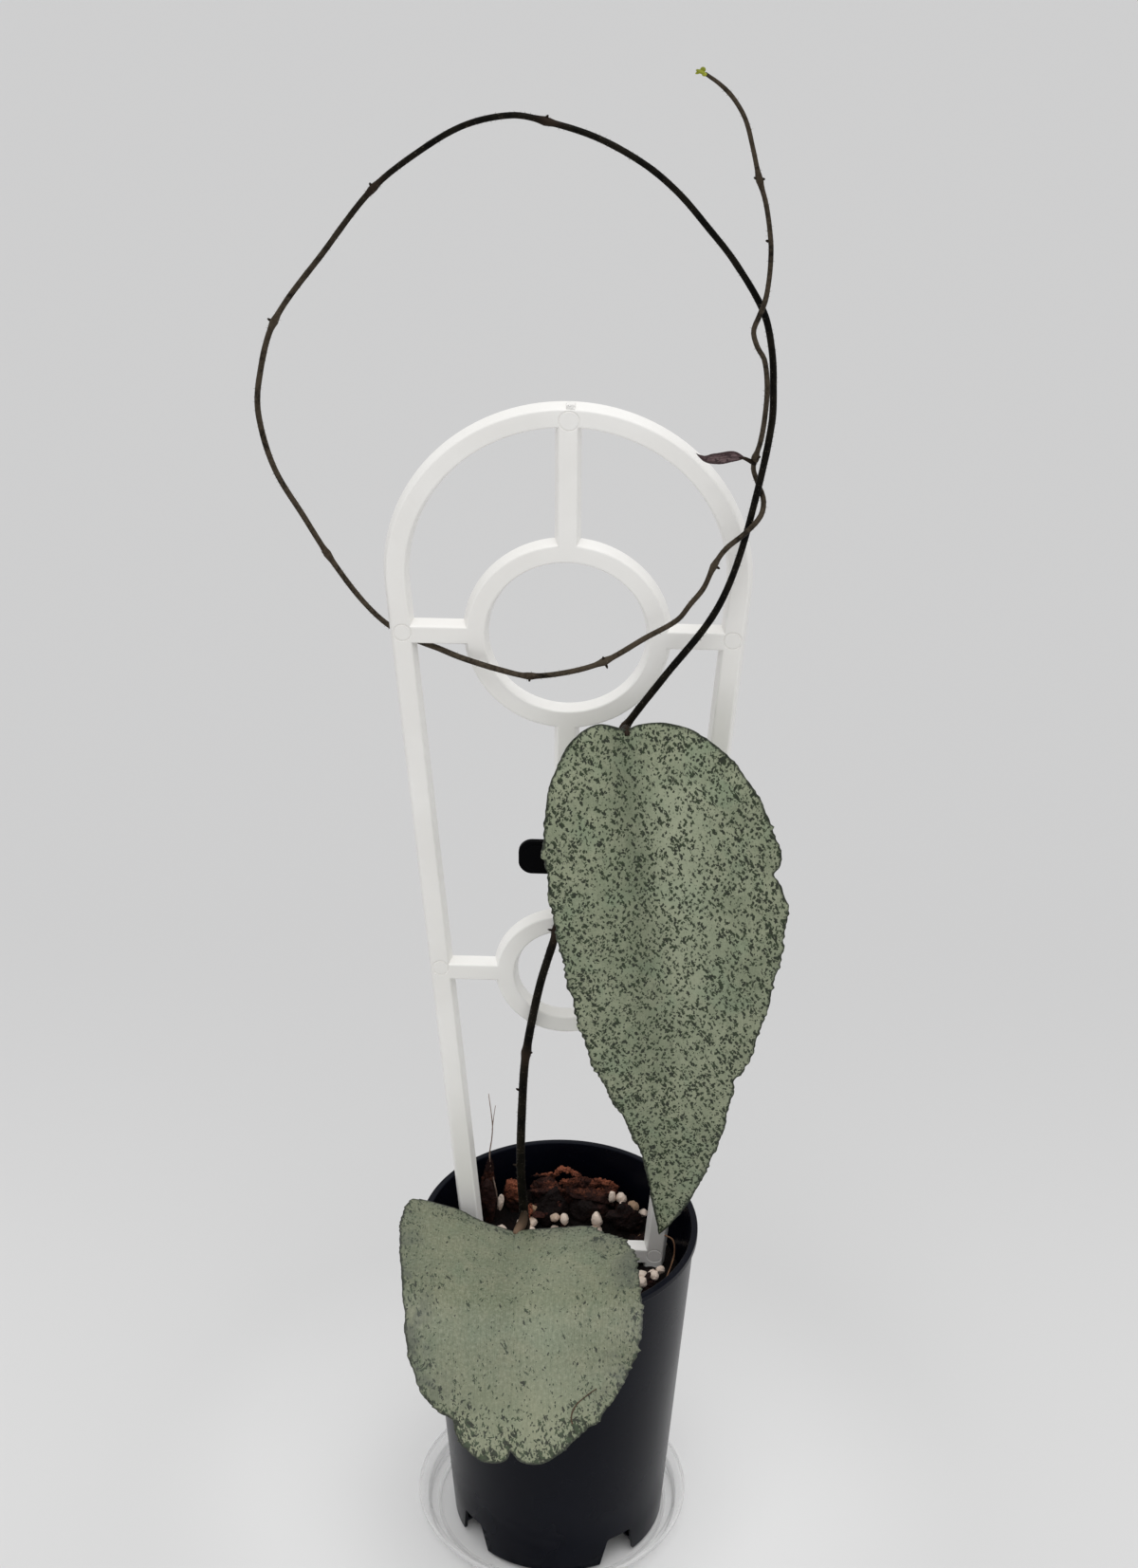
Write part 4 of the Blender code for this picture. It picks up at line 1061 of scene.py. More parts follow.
@dataclass
class NurseryPot:
    """The black pot, notched at its foot."""

    middle: float = 2.4
    stand: float = 1.8
    top: float = 134.1
    rim: float = 50.0
    rim_depth: float = 2.6
    wall_top: float = 49.1
    foot: float = 39.5
    wall: float = 1.4
    floor_under: float = 5.5
    floor: float = 1.6
    notch: tuple[float, float] = (16.0, 12.5)
    notch_turns: tuple[float, ...] = (37.0, 127.0, 217.0, 310.0)
    notch_taper: float = 0.62
    drain_radius: float = 4.0
    drain_ring: float = 20.0
    drains: int = 5

    def radius_at(self, height: float) -> float:
        """Gives the outer wall's radius at a height."""
        share = (height - self.stand) / (self.top - self.stand)
        return self.foot + (self.wall_top - self.foot) * share

    def notch_cutter(self, turn: float) -> bpy.types.Object:
        """Makes the rounded block that cuts one notch.

        Args:
            turn: the notch's turn from the front, in degrees.

        Returns:
            The block.
        """
        Bench.clear()
        width, height = self.notch
        bpy.ops.mesh.primitive_cube_add(size=1.0)
        block = bpy.context.object
        block.scale = (width * MM, 14.0 * MM, (height + 2.0) * MM)
        Bench.settle(block)
        for vert in Bench.edit(block).verts:
            vert.co.x *= self.notch_taper if vert.co.z > 0.0 else 1.0
        bmesh.update_edit_mesh(block.data)
        Bench.clear()
        bevel = block.modifiers.new("Corners", "BEVEL")
        bevel.width = 1.1 * MM
        bevel.segments = 3
        bevel.limit_method = "ANGLE"
        angle = math.radians(turn)
        reach = self.foot - 2.0
        block.location = Vector((self.middle + reach * math.sin(angle), -reach * math.cos(angle),
                                 self.stand + height / 2 - 1.0)) * MM
        block.rotation_euler.z = angle
        Bench.settle(block)
        return block

    def build(self) -> None:
        """Turns the pot, cuts its notches and drains, and dresses it."""
        floor_top = self.floor_under + self.floor
        lip = self.top - self.rim_depth
        inside = self.radius_at(self.top) - self.wall
        profile = [
            (0.0, floor_top, 0.0), (self.radius_at(floor_top) - self.wall, floor_top, 1.6),
            (inside, self.top, 0.5), (self.rim, self.top, 0.45), (self.rim, lip, 0.35),
            (self.radius_at(lip), lip - 0.5, 0.4),
            *((self.radius_at(height), height, 0.0) for height in (90.0, 45.0, self.stand + 15.0)),
            (self.foot, self.stand, 0.35),
            (self.foot - self.wall, self.stand, 0.3),
            (self.radius_at(self.floor_under) - self.wall, self.floor_under, 0.4),
            (0.0, self.floor_under, 0.0),
        ]
        obj = Bench.turn("nursery_pot", rounded(profile), 144, self.middle)
        cutters = [self.notch_cutter(turn) for turn in self.notch_turns]
        for index in range(self.drains):
            angle = math.tau * (index + 0.25) / self.drains
            place = Vector((self.middle + self.drain_ring * math.cos(angle),
                            self.drain_ring * math.sin(angle), floor_top - self.floor / 2)) * MM
            Bench.clear()
            bpy.ops.mesh.primitive_cylinder_add(vertices=32, radius=self.drain_radius * MM,
                                                depth=self.floor * 3 * MM, location=place)
            cutters.append(bpy.context.object)
            Bench.settle(cutters[-1])
        Bench.cut(obj, cutters)
        Bench.smooth(obj, 30.0)
        Bench.flatten(obj)
        Bench.dress(obj, Finish.BLACK, "black_plastic", "pot")


@dataclass
class Trellis:
    """The one-piece white trellis, with the marks that its mould left."""

    place: Point = (3.7, 11.9, 134.1)
    bar: float = 7.25
    draft: float = 0.66
    depth: float = 4.6
    arch_radius: float = 58.5
    arch_height: float = 250.4
    slope: float = 0.0800
    ring_one: tuple[float, float] = (230.0, 33.2)
    ring_two: tuple[float, float] = (100.6, 24.3)
    crossbar: float = -22.2
    leg_tip: float = -108.0
    leg_point: tuple[float, float] = (24.0, 1.6)
    edge: float = 0.55
    marks: tuple[tuple[float, float, float], ...] = (
        (-49.5, 364.8, 2.9), (57.0, 364.6, 2.9), (4.0, 438.6, 3.2), (37.0, 112.5, 2.7),
        (-39.5, 236.3, 2.8), (46.9, 236.3, 2.8), (-29.6, 112.5, 2.7),
    )

    def stile(self, height: float, inner: bool) -> float:
        """Gives how far a stile's edge is from the trellis's middle.

        Args:
            height: the height over the pot's rim.
            inner: asks for the inner edge instead of the outer.

        Returns:
            The distance.
        """
        tilt = math.atan(self.slope)
        corner = self.arch_height - self.arch_radius * math.sin(tilt)
        outer = self.arch_radius * math.cos(tilt) - (corner - height) * self.slope
        return outer - self.bar / math.cos(tilt) if inner else outer

    def outlines(self) -> list[list[tuple[float, float]]]:
        """Draws the trellis's outline and its seven windows."""
        half, quarter = self.bar / 2, math.pi / 2
        tilt = math.atan(self.slope)
        (one_z, one_r), (two_z, two_r) = self.ring_one, self.ring_two
        arch, one, two = (0.0, self.arch_height), (0.0, one_z), (0.0, two_z)
        low, high = self.crossbar - half, self.crossbar + half
        shoulder = self.leg_tip + self.leg_point[0]
        middle = (self.stile(self.leg_tip, False) + self.stile(self.leg_tip, True)) / 2
        leg = [(self.stile(shoulder, True), shoulder), (middle - self.leg_point[1] / 2, self.leg_tip),
               (middle + self.leg_point[1] / 2, self.leg_tip), (self.stile(shoulder, False), shoulder)]
        outer = arc(arch, self.arch_radius, -tilt, math.pi + tilt)
        outer += [(-x, z) for x, z in reversed(leg)]
        outer += [(-self.stile(low, True), low), (self.stile(low, True), low)] + leg
        inside = self.arch_radius - self.bar
        turn_one, turn_two = math.asin(half / one_r), math.asin(half / two_r)
        spoke = one_z + half
        top = arc(arch, inside, math.acos(half / inside), -tilt) + [(self.stile(spoke, True), spoke)]
        top += arc(one, one_r, turn_one, quarter - turn_one)
        spoke, shelf = one_z - half, two_z + half
        side = [(self.stile(spoke, True), spoke), (self.stile(shelf, True), shelf)]
        side += arc(two, two_r, turn_two, quarter - turn_two)
        side += arc(one, one_r, turn_one - quarter, -turn_one)
        shelf = two_z - half
        bottom = [(self.stile(high, True), high), (self.stile(shelf, True), shelf)]
        bottom += arc(two, two_r, -turn_two, turn_two - math.pi)
        bottom += [(-self.stile(shelf, True), shelf), (-self.stile(high, True), high)]
        found = [outer, bottom]
        for window in (top, side):
            found += [window, [(-x, z) for x, z in window]]
        found.append(arc(one, one_r - self.bar, 0.0, math.tau)[:-1])
        found.append(arc(two, two_r - self.bar, 0.0, math.tau)[:-1])
        return found

    def mark_cutter(self, x: float, z: float, radius: float) -> bpy.types.Object:
        """Makes the shallow ring that one ejector pin leaves round its disc.

        Args:
            x: the mark's place along X.
            z: its height.
            radius: its radius.

        Returns:
            The ring.
        """
        Bench.clear()
        place = Vector((x, self.place[1] - self.depth / 2, z)) * MM
        bpy.ops.mesh.primitive_torus_add(major_radius=radius * MM, minor_radius=0.32 * MM,
                                         major_segments=48, minor_segments=8, location=place,
                                         rotation=(math.pi / 2, 0.0, 0.0))
        ring = bpy.context.object
        Bench.settle(ring)
        return ring

    def gate_scar(self) -> bpy.types.Object:
        """Makes the torn nub at the top of the arch, where the mould was filled."""
        Bench.clear()
        top = self.place[2] + self.arch_height + self.arch_radius
        place = Vector((self.place[0] + 0.8, self.place[1] - 0.4, top - 0.1)) * MM
        bpy.ops.mesh.primitive_cube_add(size=1.0, location=place)
        nub = bpy.context.object
        nub.scale = (2.6 * MM, 3.4 * MM, 1.5 * MM)
        Bench.settle(nub)
        Bench.edit(nub)
        bpy.ops.mesh.select_all(action="SELECT")
        bpy.ops.mesh.subdivide(number_cuts=4)
        bpy.ops.transform.vertex_random(offset=0.32 * MM, seed=4)
        Bench.clear()
        return nub

    def build(self) -> None:
        """Cuts the plate, adds the mould's marks and dresses it."""
        obj = Bench.plate("white_trellis", self.outlines(), self.depth, self.edge, self.place,
                          slope=self.draft)
        Bench.cut(obj, [self.mark_cutter(*mark) for mark in self.marks])
        obj = Bench.join([obj, self.gate_scar()], "white_trellis")
        Bench.smooth(obj, 32.0)
        Bench.flatten(obj)
        Bench.dress(obj, Finish.WHITE, "white_plastic", "trellis")


@dataclass
class Clip:
    """The small black clip: a jaw round spoke and stem, and a thumb tab."""

    low: float = 281.5
    height: float = 9.0
    wall: float = 1.5
    front: float = 4.6
    spoke: tuple[float, float] = (3.7, 11.9)
    bar: tuple[float, float] = (8.4, 4.6)
    gap: float = 0.2
    tab: tuple[float, float] = (12.6, 12.6)
    corners: tuple[float, float] = (4.6, 2.4)
    tab_place: tuple[float, float] = (3.4, 285.9)

    def build(self) -> None:
        """Bends the jaw, adds the tab and its raised grip, and dresses them."""
        left = self.spoke[0] - self.bar[0] / 2 - self.gap
        right = self.spoke[0] + self.bar[0] / 2 + self.gap
        back = self.spoke[1] + self.bar[1] / 2 + self.gap
        front, wall = self.front, self.wall
        jaw = [
            (right, 7.4), (right, front + 0.9), (right - 0.9, front), (left + 0.9, front),
            (left, front + 0.9), (left, back - 0.6), (left + 0.6, back), (right - 0.6, back),
            (right, back - 0.6), (right, 12.4), (right + 0.8, 11.6), (right + wall, 12.5),
            (right + wall, back + 0.5), (right + 0.5, back + wall), (left - 0.5, back + wall),
            (left - wall, back + 0.5), (left - wall, front - 0.5), (left - 0.5, front - wall),
            (right + 0.5, front - wall), (right + wall, front - 0.5), (right + wall, 7.3),
            (right + 0.8, 8.2),
        ]
        ring = Bench.plate("clip_jaw", [jaw], self.height, 0.3,
                           (0.0, 0.0, self.low + self.height / 2), upright=False)
        place = (left - wall - self.tab[0] / 2 + 3.0, self.tab_place[0], self.tab_place[1])
        parts = [ring]
        for name, shrink, depth, forward in (("clip_tab", 0.0, 1.9, 0.0), ("clip_grip", 1.5, 0.7, -1.0)):
            outline = []
            for x, z, start in ((1, 1, 0.0), (-1, 1, 0.5), (-1, -1, 1.0), (1, -1, 1.5)):
                corner = (self.corners[0] if x < 0 else self.corners[1]) - shrink / 2
                centre = (x * (self.tab[0] / 2 - shrink - corner), z * (self.tab[1] / 2 - shrink - corner))
                outline += arc(centre, corner, start * math.pi, (start + 0.5) * math.pi)
            parts.append(Bench.plate(name, [outline], depth, 0.3,
                                     (place[0], place[1] + forward, place[2])))
        obj = Bench.join(parts, "black_clip")
        Bench.smooth(obj, 35.0)
        Bench.flatten(obj)
        Bench.dress(obj, Finish.CLIP, "clip_black", "clip")


@dataclass
class Vine:
    """The stem and its vine, with swollen nodes, stubs, scars and hairs."""

    route: tuple[tuple[float, float, float, float], ...]
    nodes: dict[int, float]
    stubs: tuple[tuple[int, Point, float], ...]
    step: float = 1.5
    reach: float = 1.7
    half_sides: int = 6
    hairs: int = 2400
    green_from: float = 560.0

    def build(self) -> None:
        """Grows the stem along its route and dresses it with all that stands on it."""
        stations, lengths = smooth_path(self.route, self.step)
        knots = {lengths[index]: swell for index, swell in self.nodes.items()}
        places, marks, ages = [], [], []
        for distance, (x, y, z, radius) in stations:
            swell = sum(size * math.exp(-((distance - centre) / self.reach) ** 2)
                        for centre, size in knots.items())
            near = max(math.exp(-((distance - centre) / 3.4) ** 2) for centre in knots)
            uneven = 1.0 + 0.05 * noise.noise(Vector((distance * 0.22, 3.1, 0.0)))
            places.append((x, y, z, radius * uneven + swell))
            marks.append(near)
            ages.append(min(max((distance - self.green_from) / 60.0, 0.0), 1.0))
        obj = Bench.tube("vine_stem", places, self.half_sides)
        ring = self.half_sides * 2
        for name, given in (("knot", marks), ("young", ages)):
            layer = obj.data.attributes.new(name, "FLOAT", "POINT")
            count = len(obj.data.vertices)
            layer.data.foreach_set("value", [given[min(index // ring, len(given) - 1)]
                                             for index in range(count)])
        Bench.smooth(obj, 60.0)
        Bench.dress(obj, Finish.STEM, "stem_brown", "vine")
        self.add_stubs()
        self.add_hairs(places)
        self.add_tip(places[-1])

    def add_stubs(self) -> None:
        """Adds the short stubs and aerial roots that stand at the nodes."""
        parts = []
        for number, (index, direction, length) in enumerate(self.stubs):
            root = Vector(self.route[index][:3])
            way = Vector(direction).normalized()
            bend = Vector((way.z, 0.3, -way.x)) * 0.18 * length
            start = root + way * self.route[index][3] * 0.3
            middle = root + way * (self.route[index][3] + length * 0.5) + bend * 0.4
            end = root + way * (self.route[index][3] + length) + bend
            places = [(*start, 0.55), (*middle, 0.42), (*(middle.lerp(end, 0.6)), 0.33), (*end, 0.12)]
            parts.append(Bench.tube(f"stub_{number}", places, 3))
        obj = Bench.join(parts, "vine_stubs")
        Bench.mark(obj, "knot", 0.55)
        Bench.smooth(obj, 60.0)
        Bench.dress(obj, Finish.STEM, "stem_brown")

    def add_hairs(self, places: Sequence[tuple[float, float, float, float]]) -> None:
        """Stands fine pale hairs on the stem.

        Args:
            places: the stem's places and radii.
        """
        draw = random.Random(11)
        bm = bmesh.new()
        for _ in range(self.hairs):
            position = draw.random() ** 1.5 * (len(places) - 6)
            index = int(position) + 2
            here = Vector(places[index][:3])
            way = (Vector(places[index + 1][:3]) - here).normalized()
            across = way.orthogonal().normalized()
            across.rotate(Matrix.Rotation(draw.uniform(0, math.tau), 3, way))
            root = here + across * places[index][3] * 0.96
            lean = (across + way * draw.uniform(-0.5, 0.9)).normalized()
            tip = root + lean * draw.uniform(0.3, 1.0)
            side = lean.orthogonal().normalized() * 0.055
            turned = side.copy()
            corners = []
            for _ in range(3):
                corners.append(bm.verts.new((root + turned) * MM))
                turned.rotate(Matrix.Rotation(math.tau / 3, 3, lean))
            point = bm.verts.new(tip * MM)
            bm.faces.new((corners[2], corners[1], corners[0]))
            for first in range(3):
                bm.faces.new((corners[first], corners[(first + 1) % 3], point))
        mesh = bpy.data.meshes.new("vine_hairs")
        bm.to_mesh(mesh)
        bm.free()
        obj = bpy.data.objects.new("vine_hairs", mesh)
        bpy.context.collection.objects.link(obj)
        Bench.mark(obj, "knot", 0.0)
        Bench.dress(obj, Finish.HAIR, "stem_brown")

    def add_tip(self, end: tuple[float, float, float, float]) -> None:
        """Sets the green growing bud on the vine's end.

        Args:
            end: the vine's last place and radius.
        """
        lobes = (((-1.2, -0.2, 0.5), (1.5, 0.7, 0.55), 20.0), ((-0.6, 0.3, 1.0), (0.8, 0.45, 0.8), 70.0),
                 ((-1.9, 0.1, 0.2), (0.9, 0.5, 0.4), -20.0), ((-0.1, -0.2, -0.2), (0.8, 0.6, 0.6), 0.0))
        parts = []
        for offset, size, turn in lobes:
            Bench.clear()
            place = (Vector(end[:3]) + Vector(offset)) * MM
            bpy.ops.mesh.primitive_ico_sphere_add(subdivisions=3, radius=MM, location=place)
            lobe = bpy.context.object
            lobe.scale = size
            lobe.rotation_euler.y = math.radians(turn)
            Bench.settle(lobe)
            parts.append(lobe)
        obj = Bench.join(parts, "vine_bud")
        Bench.mark(obj, "knot", 0.0)
        Bench.smooth(obj, 60.0)
        Bench.dress(obj, Finish.BUD, "stem_brown")


@dataclass
class Leaf:
    """One leaf: a waved, veined blade on a midrib in space, and its stalk."""

    node: str
    finish: Finish
    slot: str
    midrib: tuple[Point, ...]
    left: tuple[tuple[float, float], ...]
    right: tuple[tuple[float, float], ...]
    stalk: tuple[tuple[float, float, float, float], ...]
    across: Point = (1, 0, 0)
    fold: tuple[float, float, float] = (0.2, 200.0, 0.05)
    wave: tuple[float, int] = (0.5, 12)
    thickness: float = 1.1
    rows: int = 180
    columns: int = 15
    reach: int = 14
    tooth: float = 0.7
    stalk_finish: Finish = Finish.STEM
    back_finish: Finish = Finish.LEAF_BACK
    ripple: float = 0.35
    seed: float = 1.0
    swells: tuple[tuple[float, float, float, float], ...] = ()
    litter: tuple[Point, ...] = ()
    rough: tuple[tuple[int, float, float, float], ...] = ()

    def frames(self) -> tuple[list, float]:
        """Finds the blade's place, direction, side and normal along the midrib."""
        stations, lengths = smooth_path(self.midrib, 1.0)
        found = []
        for index, (_, here) in enumerate(stations):
            before = Vector(stations[max(index - 1, 0)][1])
            after = Vector(stations[min(index + 1, len(stations) - 1)][1])
            way = (after - before).normalized()
            side = (Vector(self.across) - way * way.dot(Vector(self.across))).normalized()
            found.append((Vector(here), way, side, way.cross(side)))
        return found, lengths[-1]

    def margin(self, edge: Sequence[tuple[float, float]]) -> list[tuple[float, float]]:
        """Reads one margin at even shares of its length, once for each row."""
        padded = [(width, along, 0.0) for width, along in edge]
        length = smooth_path(padded, 1.0)[1][-1]
        return [place[:2] for _, place in smooth_path(padded, length / self.rows)[0]]

    def teeth(self, share: float, side: int) -> float:
        """Gives the small uneven teeth of the margin.

        Args:
            share: the share of the margin's length.
            side: -1 on the left and 1 on the right.

        Returns:
            How far the margin stands out.
        """
        place = share * self.rows
        slow = noise.noise(Vector((place * 0.17, side * 4.0, self.seed)))
        quick = noise.noise(Vector((place * 0.46, side * 9.0, self.seed)))
        peak = 1.0 - 5.0 * abs(noise.noise(Vector((place * 0.37, side * 2.0, self.seed + 5.0))))
        amount = 1.0
        for rough_side, centre, spread, change in self.rough:
            if rough_side == side:
                amount += change * math.exp(-(((share - centre) / spread) ** 2))
        return self.tooth * amount * (0.4 * slow + 0.5 * quick + 1.2 * max(peak, 0.0) * (0.5 + slow))

    def lift(self, width: float, along: float, share: float, phase: float) -> float:
        """Gives how far a point of the blade stands off its midrib's plane.

        Args:
            width: the point's distance from the midrib, negative on the left.
            along: its distance along the midrib.
            share: its share of the way to the margin.
            phase: the margin's wave there.

        Returns:
            The distance along the blade's normal.
        """
        rise = self.fold[0] * max(0.0, 1.0 - along / self.fold[1]) + self.fold[2]
        height = rise * (math.hypot(width, 5.0) - 5.0)
        height += 1.2 * self.wave[0] * share**3 * math.sin(phase + 1.2)
        height -= self.ripple * math.exp(-((width / 1.5) ** 2))
        where = Vector((width * 0.055 + self.seed, along * 0.04, self.seed))
        height += self.ripple * 1.8 * share * noise.noise(where)
        height += self.ripple * 0.45 * noise.noise(where * 4.3)
        for swell_width, swell_along, spread, amount in self.swells:
            off = ((width - swell_width) ** 2 + (along - swell_along) ** 2) / spread**2
            height += amount * math.exp(-off)
        return height

    def blade(self) -> tuple[bpy.types.Object, int]:
        """Lays a grid on the midrib and margins, then gives it its thickness.

        Returns:
            The blade, and how many faces one of its sides has.
        """
        Bench.clear()
        frames, length = self.frames()
        edges = [self.margin(self.left), self.margin(self.right)]
        outline = {-1: [(-width, along) for width, along in edges[0]], 1: edges[1]}
        reach = self.left[-1][1]
        depth, waves = self.wave
        across = 2 * self.columns
        bpy.ops.mesh.primitive_grid_add(x_subdivisions=across, y_subdivisions=self.rows, size=1.0)
        obj = bpy.context.object
        obj.name = self.node + "_blade"
        mesh = obj.data
        flat = [(0.0, 0.0)] * len(mesh.vertices)
        rim = [0.0] * len(mesh.vertices)
        thin = obj.vertex_groups.new(name="body")
        for vert in mesh.vertices:
            row = round((vert.co.y + 0.5) * self.rows)
            column = round((vert.co.x + 0.5) * across) - self.columns
            side = -1 if column < 0 else 1
            share = abs(column) / self.columns
            u = row / self.rows
            inner = 0 < row < self.rows
            fade = math.sin(math.pi * u) ** 0.5 if inner else 0.0
            phase = math.tau * waves * u + (0.0 if side < 0 else 1.9)
            width, along = edges[0 if side < 0 else 1][row]
            width = max(width + fade * (depth * math.sin(phase) + self.teeth(u, side)), 0.0)
            centre = reach * u**1.25
            w = side * width * share
            v = centre + (along - centre) * share
            position = min(max(v / length, 0.0), 1.0) * (len(frames) - 1)
            low = min(int(position), len(frames) - 2)
            origin, way, sideways, up = (a.lerp(b, position - low)
                                         for a, b in zip(frames[low], frames[low + 1]))
            over = v - min(max(v, 0.0), length)
            lift = self.lift(w, v, share, phase if inner else 0.0)
            vert.co = (origin + way * over + sideways * w + up * lift) * MM
            nearby = outline[side][max(0, row - self.reach):row + self.reach + 1]
            inwards = min(math.dist((w, v), point) for point in nearby)
            rim[vert.index] = inwards
            thin.add([vert.index], min(1.0, 0.4 + inwards / 5.0), "REPLACE")
            flat[vert.index] = (0.5 + w / LEAF_WIDE, LEAF_START + v / LEAF_LONG)
        spread = [number for loop in mesh.loops for number in flat[loop.vertex_index]]
        mesh.uv_layers.active.data.foreach_set("uv", spread)
        mesh.attributes.new("rim", "FLOAT", "POINT").data.foreach_set("value", rim)
        Bench.edit(obj)
        bpy.ops.mesh.select_all(action="SELECT")
        bpy.ops.mesh.remove_doubles(threshold=0.02 * MM)
        bpy.ops.mesh.normals_make_consistent(inside=False)
        Bench.clear()
        count = len(obj.data.polygons)
        body = obj.modifiers.new("Thickness", "SOLIDIFY")
        body.thickness = self.thickness * MM
        body.offset = 0.0
        body.vertex_group = "body"
        Bench.settle(obj)
        Bench.smooth(obj, 50.0)
        return obj, count

    def build(self) -> None:
        """Builds the blade and its stalk and dresses both."""
        blade, count = self.blade()
        Bench.dress(blade, self.finish, self.slot, self.node)
        blade.data.materials.append(self.back_finish.material())
        faces = blade.data.polygons
        turned = sum(face.normal.dot(FRONT) for face in faces[:count]) < 0
        under = [int(index < 2 * count and (index < count) == turned) for index in range(len(faces))]
        faces.foreach_set("material_index", under)
        places = [place for _, place in smooth_path(self.stalk, 0.7)[0]]
        obj = Bench.tube(self.node + "_stalk", places, 6)
        rings = len(places)
        knot = [min(index // 12, rings - 1) / (rings - 1) for index in range(len(obj.data.vertices))]
        layer = obj.data.attributes.new("knot", "FLOAT", "POINT")
        layer.data.foreach_set("value", knot)
        Bench.smooth(obj, 60.0)
        Bench.dress(obj, self.stalk_finish, self.slot)
        if self.litter:
            strand = thread(self.node + "_litter", self.litter, 0.16, 0.26)
            Bench.mark(strand, "knot", 0.35)
            Bench.smooth(strand, 60.0)
            Bench.dress(strand, Finish.STALK, "dry_root")


class Lump:
    """Shapes of broken bark and perlite, modelled once and copied."""

    def __init__(self) -> None:
        """Models the few forms that the copies are made from."""
        self.broken = [self.form(seed, 3, 13) for seed in range(7)]
        self.coarse = [self.form(seed, 2, 9) for seed in range(7)]
        self.pebbles = [self.form(seed, 3, 2) for seed in range(5)]

    @staticmethod
    def form(seed: int, detail: int, cuts: int) -> bpy.types.Object:
        """Models one lump about 1.7 mm across, from a ball cut by flat faces.

        Args:
            seed: the number that its cuts are drawn from.
            detail: how finely the ball is divided.
            cuts: how many flat faces cut it.

        Returns:
            The lump.
        """
        draw = random.Random(seed)
        Bench.clear()
        bpy.ops.mesh.primitive_ico_sphere_add(subdivisions=detail, radius=MM)
        obj = bpy.context.object
        bm = Bench.edit(obj)
        for _ in range(cuts):
            way = Vector((draw.gauss(0, 1), draw.gauss(0, 1), draw.gauss(0, 1))).normalized()
            level = draw.uniform(0.52, 0.84) * MM
            for vert in bm.verts:
                over = vert.co.dot(way) - level
                if over > 0:
                    vert.co -= way * over
        bmesh.update_edit_mesh(obj.data)
        bpy.ops.mesh.select_all(action="SELECT")
        bpy.ops.transform.vertex_random(offset=0.045 * MM, seed=seed)
        Bench.clear()
        return obj

    @staticmethod
    def copy(form: bpy.types.Object, centre: Point, size: Point, turns: Point, shade: float
             ) -> bpy.types.Object:
        """Copies one form to a place.

        Args:
            form: the form.
            centre: where it goes, in millimetres.
            size: its three sizes.
            turns: its turns in degrees.
            shade: its lightness from 0 to 1.

        Returns:
            The copy, with its own mesh.
        """
        obj = form.copy()
        obj.data = form.data.copy()
        bpy.context.collection.objects.link(obj)
        turn = Euler([math.radians(angle) for angle in turns])
        obj.data.transform(Matrix.LocRotScale(Vector(centre) * MM, turn, Vector(size) / 1.7))
        Bench.mark(obj, "shade", shade)
        return obj

    def discard(self) -> None:
        """Removes the forms that were copied."""
        for obj in self.broken + self.coarse + self.pebbles:
            bpy.data.objects.remove(obj, do_unlink=True)


LOOSE = [tuple(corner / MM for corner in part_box(node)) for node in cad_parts
         if node.startswith(("perlite", "bark_chip"))]


